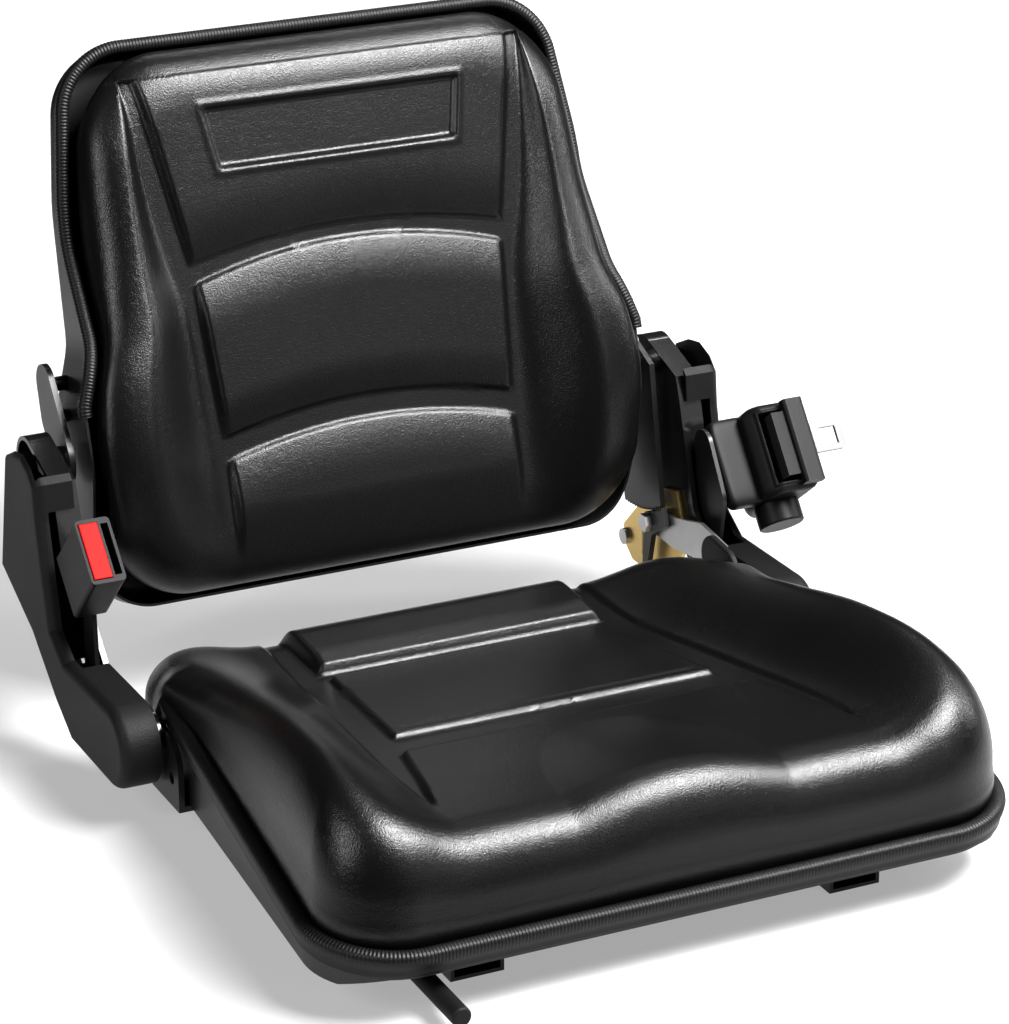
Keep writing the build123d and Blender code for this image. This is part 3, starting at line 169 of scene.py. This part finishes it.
FLOAT, VECTOR = "NodeSocketFloat", "NodeSocketVector"
grain_group, grain_in, grain_out = new_group(
    "pebble_grain",
    [("Vector", VECTOR, None), ("Pebbles", FLOAT, 900.0), ("Creases", FLOAT, 160.0),
     ("Crease depth", FLOAT, 0.6)],
    [("Height", FLOAT), ("Gloss", FLOAT)],
)
pebbles = add_node(grain_group, "ShaderNodeTexVoronoi", {"feature": "SMOOTH_F1"}, {"Smoothness": 0.6})
creases = add_node(grain_group, "ShaderNodeTexNoise", None,
                   {"Detail": 7.0, "Roughness": 0.62, "Distortion": 1.4})
patches = add_node(grain_group, "ShaderNodeTexNoise", None, {"Scale": 9.0, "Detail": 4.0})
for texture, size in ((pebbles, "Pebbles"), (creases, "Creases")):
    grain_group.links.new(grain_in.outputs["Vector"], texture.inputs["Vector"])
    grain_group.links.new(grain_in.outputs[size], texture.inputs["Scale"])
grain_group.links.new(grain_in.outputs["Vector"], patches.inputs["Vector"])
fold = math_node(grain_group, "SUBTRACT", creases.outputs["Fac"], 0.5)
fold = math_node(grain_group, "ABSOLUTE", fold, 0.0)
fold = math_node(grain_group, "POWER", fold, 0.5)
fold = math_node(grain_group, "MULTIPLY", fold, grain_in.outputs["Crease depth"])
pebble_height = math_node(grain_group, "MULTIPLY", pebbles.outputs["Distance"], -0.6)
grain_height = math_node(grain_group, "ADD", pebble_height, fold)
grain_group.links.new(grain_height, grain_out.inputs["Height"])
grain_group.links.new(patches.outputs["Fac"], grain_out.inputs["Gloss"])

bloom_group, bloom_in, bloom_out = new_group(
    "moulded_bloom",
    [("Vector", VECTOR, None), ("Size", FLOAT, 1400.0)],
    [("Height", FLOAT), ("Gloss", FLOAT)],
)
specks = add_node(bloom_group, "ShaderNodeTexNoise", None, {"Detail": 3.0, "Roughness": 0.7})
cloud = add_node(bloom_group, "ShaderNodeTexNoise", None,
                 {"Scale": 22.0, "Detail": 5.0, "Roughness": 0.6})
bloom_group.links.new(bloom_in.outputs["Vector"], specks.inputs["Vector"])
bloom_group.links.new(bloom_in.outputs["Vector"], cloud.inputs["Vector"])
bloom_group.links.new(bloom_in.outputs["Size"], specks.inputs["Scale"])
bloom_group.links.new(specks.outputs["Fac"], bloom_out.inputs["Height"])
bloom_group.links.new(cloud.outputs["Fac"], bloom_out.inputs["Gloss"])
print("node groups:", [g.name for g in bpy.data.node_groups])


# %% [markdown]
# A finish is then a short recipe: a base colour that drifts a little between two tones, a roughness that
# drifts with the same mask, and a bump from the group's height. The belt's tongue is chrome on the real
# seat. It is kept dark and dull here, because it faces the large soft box and would vanish in its glare.

# %% Finishes
def finish(name, group, sizes, tones, rough, bump, settings=None):
    """A material from a grain group: tones and rough drift between two ends, bump is strength and depth."""
    material = bpy.data.materials.new(name)
    material.use_nodes = True
    tree = material.node_tree
    shader = tree.nodes["Principled BSDF"]
    place = add_node(tree, "ShaderNodeTexCoord")
    grain = add_node(tree, "ShaderNodeGroup", {"node_tree": group}, sizes)
    tree.links.new(place.outputs["Object"], grain.inputs["Vector"])
    tint = add_node(tree, "ShaderNodeMix", {"data_type": "RGBA"})
    tint.inputs[6].default_value = (*tones[0], 1.0)
    tint.inputs[7].default_value = (*tones[1], 1.0)
    tree.links.new(grain.outputs["Gloss"], tint.inputs[0])
    tree.links.new(tint.outputs[2], shader.inputs["Base Color"])
    spread = add_node(tree, "ShaderNodeMapRange", None, {"To Min": rough[0], "To Max": rough[1]})
    tree.links.new(grain.outputs["Gloss"], spread.inputs["Value"])
    tree.links.new(spread.outputs["Result"], shader.inputs["Roughness"])
    relief = add_node(tree, "ShaderNodeBump", None, {"Strength": bump[0], "Distance": bump[1]})
    tree.links.new(grain.outputs["Height"], relief.inputs["Height"])
    tree.links.new(relief.outputs["Normal"], shader.inputs["Normal"])
    for key, value in (settings or {}).items():
        shader.inputs[key].default_value = value
    return material


def grey(value, warm=0.0):
    """A near neutral colour, warmer for a positive second number."""
    return (value * (1 + warm), value, value * (1 - warm))


vinyl = finish("black_vinyl", grain_group, {"Pebbles": 1100.0, "Creases": 190.0, "Crease depth": 0.7},
               (grey(0.003), grey(0.006)), (0.25, 0.32), (0.38, 0.0005), {"Specular IOR Level": 0.38})
trim_rubber = finish("trim_rubber", bloom_group, {"Size": 1500.0},
                     (grey(0.004), grey(0.008)), (0.38, 0.5), (0.25, 0.0003),
                     {"Specular IOR Level": 0.3})
satin_paint = finish("satin_paint", bloom_group, {"Size": 420.0},
                     (grey(0.006), grey(0.010)), (0.30, 0.40), (0.12, 0.0004))
gloss_paint = finish("gloss_paint", bloom_group, {"Size": 260.0},
                     (grey(0.006), grey(0.010)), (0.12, 0.2), (0.08, 0.0004))
cover_plastic = finish("grained_plastic", bloom_group, {"Size": 900.0},
                       (grey(0.006), grey(0.009)), (0.46, 0.58), (0.55, 0.0006),
                       {"Specular IOR Level": 0.22})
belt_plastic = finish("satin_plastic", bloom_group, {"Size": 1200.0},
                      (grey(0.006), grey(0.010)), (0.36, 0.48), (0.2, 0.0003),
                      {"Specular IOR Level": 0.14})
red_plastic = finish("red_plastic", bloom_group, {"Size": 500.0},
                     ((0.34, 0.006, 0.005), (0.44, 0.010, 0.008)), (0.4, 0.5), (0.08, 0.0003),
                     {"Specular IOR Level": 0.08})
zinc = finish("dull_zinc", bloom_group, {"Size": 700.0},
              (grey(0.42), grey(0.62)), (0.28, 0.45), (0.1, 0.0003), {"Metallic": 1.0})
yellow_zinc = finish("yellow_zinc", bloom_group, {"Size": 600.0},
                     ((0.55, 0.38, 0.13), (0.78, 0.60, 0.27)), (0.24, 0.4), (0.1, 0.0003),
                     {"Metallic": 1.0})
dulled_chrome = finish("dulled_chrome", bloom_group, {"Size": 300.0},
                       (grey(0.07), grey(0.12)), (0.42, 0.55), (0.02, 0.0002), {"Metallic": 1.0})
web_cloth = finish("woven_web", bloom_group, {"Size": 1100.0},
                   (grey(0.010), grey(0.02)), (0.7, 0.85), (0.6, 0.0006))
pale_floor = finish("pale_floor", bloom_group, {"Size": 40.0},
                    (grey(0.32), grey(0.36)), (0.75, 0.85), (0.02, 0.0005),
                    {"Emission Color": (1.0, 1.0, 1.0, 1.0), "Emission Strength": 0.42})
floor.data.materials.append(pale_floor)

slot_finish = {
    "vinyl": vinyl, "edge_trim": trim_rubber, "black_steel": satin_paint, "plated_steel": zinc,
    "yellow_zinc": yellow_zinc, "cover_plastic": cover_plastic, "belt_plastic": belt_plastic,
    "red_plastic": red_plastic, "webbing": web_cloth, "bright_metal": dulled_chrome,
}
special_finish = {
    "side_arm_left": gloss_paint, "side_arm_right": gloss_paint, "hinge_bolts": satin_paint,
}
for part in frame["record"]["subparts"]:
    node = nodes[part["node"]]
    chosen = special_finish.get(part["node"], slot_finish[part["material_slot"]])
    if not node.material_slots:
        node.data.materials.append(chosen)
    for holder in node.material_slots:
        holder.material = chosen
print("finishes:", len(slot_finish) + len(special_finish))


# %% [markdown]
# Both cushions are moulded foam under a tight skin, so their shape is fixed and can be written as a
# height over a flat outline. A square grid is wrapped onto rings of a rounded outline: the inner rings
# carry the height, and the outer rings go down the side. It has no pole and no stretched fan of faces.

# %% Surface helpers
def ease(value):
    """Smooth step from 0 to 1, 3t^2 - 2t^3 with t held between 0 and 1."""
    value = np.clip(value, 0.0, 1.0)
    return value * value * (3.0 - 2.0 * value)


def flow(value, knots, heights):
    """A smooth curve through knots, a cubic between each two with slopes from their neighbours."""
    knots, heights = np.asarray(knots, float), np.asarray(heights, float)
    slopes = np.gradient(heights, knots)
    step = np.clip(np.searchsorted(knots, value) - 1, 0, len(knots) - 2)
    width = knots[step + 1] - knots[step]
    t = np.clip((value - knots[step]) / width, 0.0, 1.0)
    rise = heights[step] * (1 + 2 * t) * (1 - t) ** 2 + heights[step + 1] * t * t * (3 - 2 * t)
    return rise + width * (slopes[step] * t * (1 - t) ** 2 - slopes[step + 1] * t * t * (1 - t))


def ring_grid(top, side):
    """A square grid as rings: the direction on the unit square and the ring number of each point."""
    count = top + side
    steps = np.arange(-count, count + 1)
    across, along = np.meshgrid(steps, steps, indexing="ij")
    ring = np.maximum(np.abs(across), np.abs(along))
    return across / np.maximum(ring, 1), along / np.maximum(ring, 1), ring


def rounded_outline(a, b, half, length, low_radius, high_radius):
    """The unit square's edge laid on a rectangle whose corners are arcs, 45 degrees for each leg."""
    radius = np.where(b < 0, low_radius, high_radius)
    x, y = np.abs(a) * half, np.abs(b) * length
    on_side = np.abs(a) >= np.abs(b)
    leg = np.where(on_side, (y - length + radius) / radius, (x - half + radius) / radius)
    turn = np.where(on_side, 1.0, -1.0) * np.clip(leg, 0, 1) * np.pi / 4
    turn = turn + np.where(on_side, 0.0, np.pi / 2)
    x = np.where(leg > 0, half - radius + radius * np.cos(turn), x)
    y = np.where(leg > 0, length - radius + radius * np.sin(turn), y)
    return np.sign(a) * x, np.sign(b) * y


def mesh_piece(name, points, faces, body, finish_material):
    """A smooth mesh object from points in millimetres, riding on a body."""
    mesh = bpy.data.meshes.new(name)
    mesh.from_pydata((points * 0.001).tolist(), [], faces)
    mesh.polygons.foreach_set("use_smooth", np.ones(len(mesh.polygons), bool))
    mesh.materials.append(finish_material)
    piece = bpy.data.objects.new(name, mesh)
    bpy.context.scene.collection.objects.link(piece)
    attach(piece, body)
    print(name, len(mesh.vertices), "points")
    return piece


def sheet_faces(rows, columns, wrap_rows=False, wrap_columns=False):
    """Quads of a grid of points numbered row by row, joined round where asked."""
    i, j = np.meshgrid(np.arange(rows if wrap_rows else rows - 1),
                       np.arange(columns if wrap_columns else columns - 1), indexing="ij")
    k, m = (i + 1) % rows, (j + 1) % columns
    quads = np.stack([i * columns + j, k * columns + j, k * columns + m, i * columns + m], -1)
    return quads.reshape(-1, 4).tolist()


def cushion_faces(size):
    """Quads of the ring grid and one flat face that closes its last ring underneath."""
    edge = np.arange(size)
    last = size - 1
    return_edge = edge[::-1]
    loop = np.concatenate([edge * size, last * size + edge[1:], return_edge[1:] * size + last,
                           return_edge[1:-1]])
    return sheet_faces(size, size) + [loop[::-1].tolist()]


def side_share(a, b, low, high, beside):
    """One value for each edge of the unit square, changing smoothly round its corners."""
    end = np.where(b < 0, low, high)
    to_end = np.where(np.abs(a) >= np.abs(b), 0.5 * ease((np.abs(b) - 0.72) / 0.28),
                      1 - 0.5 * ease((np.abs(a) - 0.72) / 0.28))
    return beside + (end - beside) * to_end


def roll_over(t, fullness):
    """The rounding from a side up to a top, (1 - (1 - t)^n)^(1/n)."""
    return (1 - (1 - np.clip(t, 0, 1)) ** fullness) ** (1 / fullness)


# %% [markdown]
# The seat cushion dishes between two bolsters. Its middle is three raised panels with lanes between
# them: a thick pad at the rear, a flat panel, and a front panel that splits into two thigh troughs round
# a low pommel. Every edge is a smooth step, a few millimetres wide, of a height over the seat's plan.

# %% Seat cushion
SEAT_FRONT, SEAT_REAR = -210.4, 194.0
seat_middle, seat_length = (SEAT_FRONT + SEAT_REAR) / 2, (SEAT_REAR - SEAT_FRONT) / 2


def seat_half(y):
    """Half the cushion's width at y: it narrows to the rear and swells again behind the trim's end."""
    return 238.0 - 0.075 * (y + 220.0) + 8.0 * ease((y - 50) / 80)


def trim_height(y):
    """The height of the sloping edge trim's middle at y."""
    return 40.0 + 0.10687 * (y + 220.0)


def seat_top(x, y):
    """Height of the seat's top before its edges roll over."""
    x = np.abs(x)
    lane = flow(y, [-230, -175, -130, -60, -20, 60, 108, 140, 200],
                [103, 103, 100.5, 91.5, 86.3, 76, 70, 69, 71])
    middle_edge = flow(y, [-20, 112], [115, 101])
    middle = ease((y + 22) / 4) * ease((114 - y) / 4) * ease((middle_edge - x + 2) / 4)
    bead = np.exp(-((y + 11.0) / 2.2) ** 2) * ease((middle_edge - x - 6) / 6)
    front_edge = flow(y, [-150, -52], [146, 123])
    lane_end = ease((y + 160) / 16)
    front = ease((-50 - y) / 4) * (1 - (1 - ease((front_edge - x + 2) / 4)) * lane_end)
    pad = ease((y - 120.5) / 5) * ease((105 - x + 3) / 8) * (0.72 + 0.28 * ease((y - 120) / 24))
    reach = (x / 74) ** 2 + ((y + 190) / 122) ** 2
    pommel = 10.5 * np.clip(1 - reach, 0, None) ** 1.2
    floor_z = lane + 4.2 * middle - 1.3 * bead + 4.2 * front + 11.5 * pad + pommel
    foot = flow(y, [-230, -150, -100, -20, 123, 200], [138, 147, 146, 138, 123, 121])
    step = 3.6 * ease((x - foot + 2) / 4) * lane_end
    crest = flow(y, [-222, -175, -130, -60, 20, 75, 110, 150, 200],
                 [119, 131, 141, 138, 121, 108, 101, 92, 86])
    climb = ease((x - foot) / (0.91 * seat_half(y) - foot)) ** 0.9
    return floor_z + step + (crest - floor_z - step) * climb


top_rings, side_rings = 145, 10
a, b, ring = ring_grid(top_rings, side_rings)
inward = np.clip(ring / top_rings, 0, 1)
share = 1 - (1 - inward) ** 1.3
plan_x, plan_y = rounded_outline(a, b, 219.5, seat_length, 51.0, 50.0)
y = seat_middle + share * plan_y
x = share * plan_x * seat_half(y) / 219.5
roll = side_share(a, b, seat_length / 40, seat_length / 30, 219.5 / 33)
trim_top = trim_height(y) + 8.0
behind = ease((y - 108) / 30)
top = seat_top(x, y)
wall_top = trim_top + 0.22 * (top - trim_top)
wall_top = wall_top + (58.0 - wall_top) * behind
wall_foot = (trim_top - 12.0) + (42.0 - trim_top + 12.0) * behind
down = np.clip((ring - top_rings) / side_rings, 0, 1)
height = wall_top + (top - wall_top) * roll_over((1 - share) * roll, 2.3)
height = height + (wall_foot - wall_top) * down
bulge = 1 + 0.006 * np.sin(np.pi * np.clip(down * 1.3, 0, 1)) - 0.012 * down ** 2
seat_points = np.stack([x * bulge, seat_middle + (y - seat_middle) * bulge, height], -1).reshape(-1, 3)
seat_pad = mesh_piece("seat_pad", seat_points, cushion_faces(len(a)), "seat", vinyl)
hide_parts("seat_cushion")

# %% [markdown]
# The back cushion is the same kind of surface, laid on the reclined plane of the back shell. Its rim is
# not flat: the shell comes forward beside the waist as two wings, and the cushion's side follows it.

# %% Back cushion
LEAN = np.radians(17.0)
back_foot = np.array([0.0, 223.0, 40.0])
back_up = np.array([0.0, np.sin(LEAN), np.cos(LEAN)])
back_forward = np.array([0.0, -np.cos(LEAN), np.sin(LEAN)])
across = np.array([1.0, 0.0, 0.0])


def rounded_path(corners, radii, step):
    """Straight runs between corners, with an arc of its radius at each inner one, sampled every step."""
    corners = np.asarray(corners, float)
    runs = [corners[:1]]
    for before, here, after, radius in zip(corners[:-2], corners[1:-1], corners[2:], radii):
        entry = (before - here) / np.linalg.norm(before - here)
        leave = (after - here) / np.linalg.norm(after - here)
        bend = np.arccos(np.clip(entry @ leave, -1, 1))
        centre = here + (entry + leave) / np.linalg.norm(entry + leave) * radius / np.sin(bend / 2)
        start = here + entry * radius / np.tan(bend / 2) - centre
        sweep = np.pi - bend
        side = np.sign(start[1] * entry[0] - start[0] * entry[1])
        turn = np.linspace(0, sweep, max(3, int(radius * sweep / step)))[:, None] * side
        spun = np.stack([-start[1], start[0]])
        runs.append(centre + np.cos(turn) * start + np.sin(turn) * spun)
    runs.append(corners[-1:])
    line = np.concatenate(runs)
    length = np.concatenate([[0.0], np.cumsum(np.linalg.norm(np.diff(line, axis=0), axis=1))])
    even = np.linspace(0, length[-1], int(length[-1] / step) + 1)
    return np.stack([np.interp(even, length, line[:, 0]), np.interp(even, length, line[:, 1])], -1)


wing_path = rounded_path([(-47, 0), (70, 0), (150, 35), (215, 35), (300, 0), (477, 0)], [60] * 4, 2.0)


def rim_depth(s):
    """How far the shell's rim lies behind the cushion's front plane, s up the backrest."""
    return 30.0 - np.interp(s, wing_path[:, 0], wing_path[:, 1])


def back_half(s):
    """Half the back cushion's width, s up the backrest."""
    return flow(s, [50, 88, 130, 175, 200, 237, 270, 320, 360, 392, 424],
                [196, 199, 201, 201.5, 198, 188, 187, 185, 181, 176, 171])


def puff(inside, reach):
    """A panel's rise from its crease: part of it at once, the rest as a parabola over reach."""
    return 0.28 * ease(inside / 3.5) + 0.72 * (1 - (1 - np.clip(inside / reach, 0, 1)) ** 2)


def back_front(x, s):
    """How far the back cushion's front stands forward before its edges roll over."""
    x = np.abs(x)
    arch = 1 - (x / 112) ** 2
    upper = puff(s - 277 - 13 * arch, 40)
    upper_side = ease((flow(s, [281, 410], [117, 140]) - x + 3) / 6)
    upper = upper * (1 - (1 - upper_side) * ease((418 - s) / 16))
    middle = puff(265 + 17 * arch - s, 36) * puff(s - 154 - 15.5 * arch, 30)
    middle = middle * ease((flow(s, [156, 259], [108, 114.5]) - x + 3) / 6)
    lower = puff(140 + 16 * arch - s, 36) * ease((108 - x + 3) / 7) * ease((s - 66) / 44)
    plate_side = flow(s, [339, 380], [88, 95]) - x
    plate = ease((plate_side + 2) / 5) * ease((s - 337) / 5) * ease((383 - s) / 5)
    lip = ease((plate_side + 7) / 5) * ease((s - 332) / 5) * ease((388 - s) / 5) - plate
    face = -3.0 + 6.0 * upper + 6.4 * middle + 6.2 * lower - 3.4 * plate + 0.7 * lip
    foot = flow(s, [60, 131, 156, 259, 281, 408], [110, 113, 115, 124, 130, 150])
    proud = flow(s, [54, 88, 130, 175, 200, 237, 270, 320, 360, 392, 424],
                 [6, 16, 25, 29, 28, 23, 18, 12, 8, 4, 0])
    climb = ease((x - foot) / (0.86 * back_half(s) - foot))
    return face + (proud - face) * climb


a, b, ring = ring_grid(top_rings, side_rings)
inward = np.clip(ring / top_rings, 0, 1)
share = 1 - (1 - inward) ** 1.3
plan_x, plan_s = rounded_outline(a, b, 190.0, 185.0, 54.0, 60.0)
s = 238.0 + share * plan_s
x = share * plan_x * back_half(s) / 190.0
roll = side_share(a, b, 185.0 / 46, 185.0 / 42, 190.0 / 36)
front = back_front(x, s)
rim_front = 8.0 - rim_depth(s)
wall_front = rim_front + 0.15 * (front - rim_front)
down = np.clip((ring - top_rings) / side_rings, 0, 1)
stand = wall_front + (front - wall_front) * roll_over((1 - share) * roll, 2.2)
stand = stand + (-30.4 - wall_front) * down
tuck = 1 - 0.02 * down ** 1.5
back_points = (back_foot + (x * tuck)[..., None] * across
               + (238.0 + (s - 238.0) * tuck)[..., None] * back_up + stand[..., None] * back_forward)
back_pad = mesh_piece("back_pad", back_points.reshape(-1, 3), cushion_faces(len(a)),
                      "backrest", vinyl)
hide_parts("back_cushion")

# %% [markdown]
# Both trays have a ribbed rubber trim pushed over their rim. A bead stands above a plain lip, and close
# ribs cross the bead. The section is carried along the rim as a sweep, and the ribs are a ripple of the
# section's size along the way, so they are real relief in any light.

# %% Edge trims
bead_section = np.array([
    (-3.3, -8.0), (-3.6, -3.0), (-4.3, 0.0), (-4.6, 3.5), (-3.4, 6.9), (-0.6, 8.4),
    (2.4, 8.3), (5.4, 6.8), (7.0, 3.6), (6.6, 0.2), (5.4, -3.0), (5.0, -8.0),
])


def smooth_section(corners, count):
    """An open section through its corners, evenly spread."""
    length = np.concatenate([[0.0], np.cumsum(np.linalg.norm(np.diff(corners, axis=0), axis=1))])
    even = np.linspace(0, length[-1], count)
    return np.stack([flow(even, length, corners[:, 0]), flow(even, length, corners[:, 1])], -1)


def ribbed_sweep(path, outward, forward, section, pitch, depth):
    """The section at each point of a path: offset n along outward, u along forward, beaded by ribs."""
    length = np.concatenate([[0.0], np.cumsum(np.linalg.norm(np.diff(path, axis=0), axis=1))])
    rib = -depth * np.abs(np.cos(np.pi * length / pitch)) ** 3
    bead = ease((section[:, 1] + 1.0) / 2.5)
    lean_in = section - np.array([1.2, 2.5])
    lean_in = lean_in / np.linalg.norm(lean_in, axis=1)[:, None]
    shape = section[None] + rib[:, None, None] * bead[None, :, None] * lean_in[None]
    return path[:, None] + shape[..., :1] * outward[:, None] + shape[..., 1:] * forward[:, None]


def sweep_faces(rows, columns):
    """Quads of a closed tube and its two flat ends."""
    first = np.arange(columns)[::-1].tolist()
    last = (np.arange(columns) + (rows - 1) * columns).tolist()
    return sheet_faces(rows, columns, wrap_columns=True) + [first, last]


def plan_normals(path):
    """The unit normals in the plane of a path, on its right-hand side."""
    tangent = np.gradient(path, axis=0)
    tangent = tangent / np.linalg.norm(tangent, axis=1)[:, None]
    return np.stack([tangent[:, 1], -tangent[:, 0]], -1)


section = smooth_section(bead_section, 26)
RIB_STEP, RIB_PITCH, RIB_DEPTH = 0.42, 2.3, 0.32
rear_half, front_half, rear_y, front_y = 240.5 - 0.075 * 333.0, 240.5, 113.0, -215.5
seat_run = rounded_path(
    [(-rear_half, rear_y), (-front_half, front_y), (front_half, front_y), (rear_half, rear_y)],
    [55.5, 55.5], RIB_STEP)
normal = plan_normals(seat_run)
slope = np.array([0.0, -0.1063, 0.9943])
seat_line = np.column_stack([seat_run, trim_height(seat_run[:, 1])])
trim_points = ribbed_sweep(seat_line, np.column_stack([normal, np.zeros(len(normal))]),
                           np.broadcast_to(slope, seat_line.shape), section, RIB_PITCH, RIB_DEPTH)
seat_edge = mesh_piece("seat_edge", trim_points.reshape(-1, 3), sweep_faces(*trim_points.shape[:2]),
                       "seat", trim_rubber)
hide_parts("seat_trim")

grow = -1.75
right_rim = np.array([(209, 186), (209, 192), (196, 232), (193, 326), (179, 430 + grow)]) + [grow, 0]
back_run = rounded_path(np.concatenate([right_rim, right_rim[::-1] * [-1, 1]]),
                        [14, 60, 250, 46, 46, 250, 60, 14], RIB_STEP)
normal = plan_normals(back_run)
back_line = (back_foot + back_run[:, :1] * across + back_run[:, 1:] * back_up
             - (rim_depth(back_run[:, 1]) + 2.0)[:, None] * back_forward)
back_section = section * np.array([0.8, 0.75])
trim_points = ribbed_sweep(back_line, normal[:, :1] * across + normal[:, 1:] * back_up,
                           np.broadcast_to(back_forward, back_line.shape), back_section,
                           RIB_PITCH, RIB_DEPTH)
back_edge = mesh_piece("back_edge", trim_points.reshape(-1, 3), sweep_faces(*trim_points.shape[:2]),
                       "backrest", trim_rubber)
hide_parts("back_trim")

# %% [markdown]
# The belt retractor is a fat moulded housing: a rounded shoulder on the drum's side, a framed mouth in
# front for the webbing, and a round back. It is the cushion's kind of surface again, a height over a
# rounded outline, but with a tight edge and a sunk mouth. A short moulded foot joins it to its strap.

# %% Retractor housing
TILT = np.radians(38.2)
spool_centre = np.array([270.0, 207.0, 128.0])
spool_out = np.array([0.0, -np.cos(TILT), np.sin(TILT)])
spool_up = np.array([0.0, np.sin(TILT), np.cos(TILT)])
DRUM_LEFT, DRUM_RIGHT, DRUM_HALF, MOUTH = -10.9, 30.0, 33.0, 36.0


def in_spool_frame(x, out, up):
    """Points from the retractor's own directions: across, out of the mouth and up the spool."""
    sideways, outward, upward = x[..., None] * across, out[..., None] * spool_out, up[..., None] * spool_up
    return (spool_centre + sideways + outward + upward).reshape(-1, 3)


def housing_front(x, up):
    """The front of the housing: a shoulder on the drum's side, a raised frame and a mouth sunk 15 mm."""
    shoulder = -9.0 * (1 - ease((x - DRUM_LEFT) / 13)) ** 1.5
    from_left, from_right, up = x - DRUM_LEFT, DRUM_RIGHT - x, np.abs(up)
    mouth = ease((from_left - 7.5) / 1.6) * ease((from_right - 5.0) / 1.6) * ease((26.2 - up) / 1.6)
    frame_line = ease(from_left - 5.5) * ease(from_right - 3.0) * ease(28.2 - up)
    return MOUTH - 1.2 + shoulder + 1.2 * frame_line - 16.0 * mouth


a, b, ring = ring_grid(70, 34)
inward = np.clip(ring / 70, 0, 1)
share = 1 - (1 - inward) ** 1.15
half_across = (DRUM_RIGHT - DRUM_LEFT) / 2
plan_x, plan_up = rounded_outline(a, b, half_across, DRUM_HALF, 7.0, 7.0)
x, up = DRUM_LEFT + half_across + share * plan_x, share * plan_up
EDGE = 5.0
edge_share = side_share(a, b, DRUM_HALF / EDGE, DRUM_HALF / EDGE, half_across / EDGE)
lift = roll_over((1 - share) * edge_share, 2.0)
out = housing_front(x, up) - EDGE * (1 - lift)
down = np.clip((ring - 70) / 34, 0, 1)
out = out + (-29.0 - out) * down
pinch = np.sqrt(np.clip(1 - (np.clip(-out, 0, 29.0) / 30.0) ** 2, 0, 1))
x = np.where(out < 0, DRUM_LEFT + half_across + (x - DRUM_LEFT - half_across) * (0.25 + 0.75 * pinch), x)
housing = mesh_piece("retractor_body", in_spool_frame(x, out, up), cushion_faces(len(a)),
                     "seat", belt_plastic)


def rounded_block(low, high, power, count):
    """A rounded block as a superellipsoid: signed powers of the sphere's sines and cosines."""
    low, high = np.asarray(low, float), np.asarray(high, float)
    turn, tip = np.meshgrid(np.arange(count) / count * 2 * np.pi,
                            np.linspace(-np.pi / 2, np.pi / 2, count // 2)[1:-1], indexing="ij")

    def bent(value):
        """The value's size to the power, with its sign kept."""
        return np.sign(value) * np.abs(value) ** power

    waist = bent(np.cos(tip))
    shape = np.stack([waist * bent(np.cos(turn)), waist * bent(np.sin(turn)), bent(np.sin(tip))], -1)
    rows, columns = shape.shape[:2]
    points = (low + high) / 2 + shape.reshape(-1, 3) * (high - low) / 2
    first = (np.arange(rows) * columns)[::-1].tolist()
    last = (np.arange(rows) * columns + columns - 1).tolist()
    return points, sheet_faces(rows, columns, wrap_rows=True) + [first, last]


foot_points, foot_faces = rounded_block((-33.0, 0.5, -32.5), (-3.0, 15.0, 32.5), 0.28, 48)
foot_points = in_spool_frame(foot_points[:, 0], foot_points[:, 1], -foot_points[:, 2])
mesh_piece("retractor_foot", foot_points, foot_faces, "seat", belt_plastic)
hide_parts("retractor_housing")
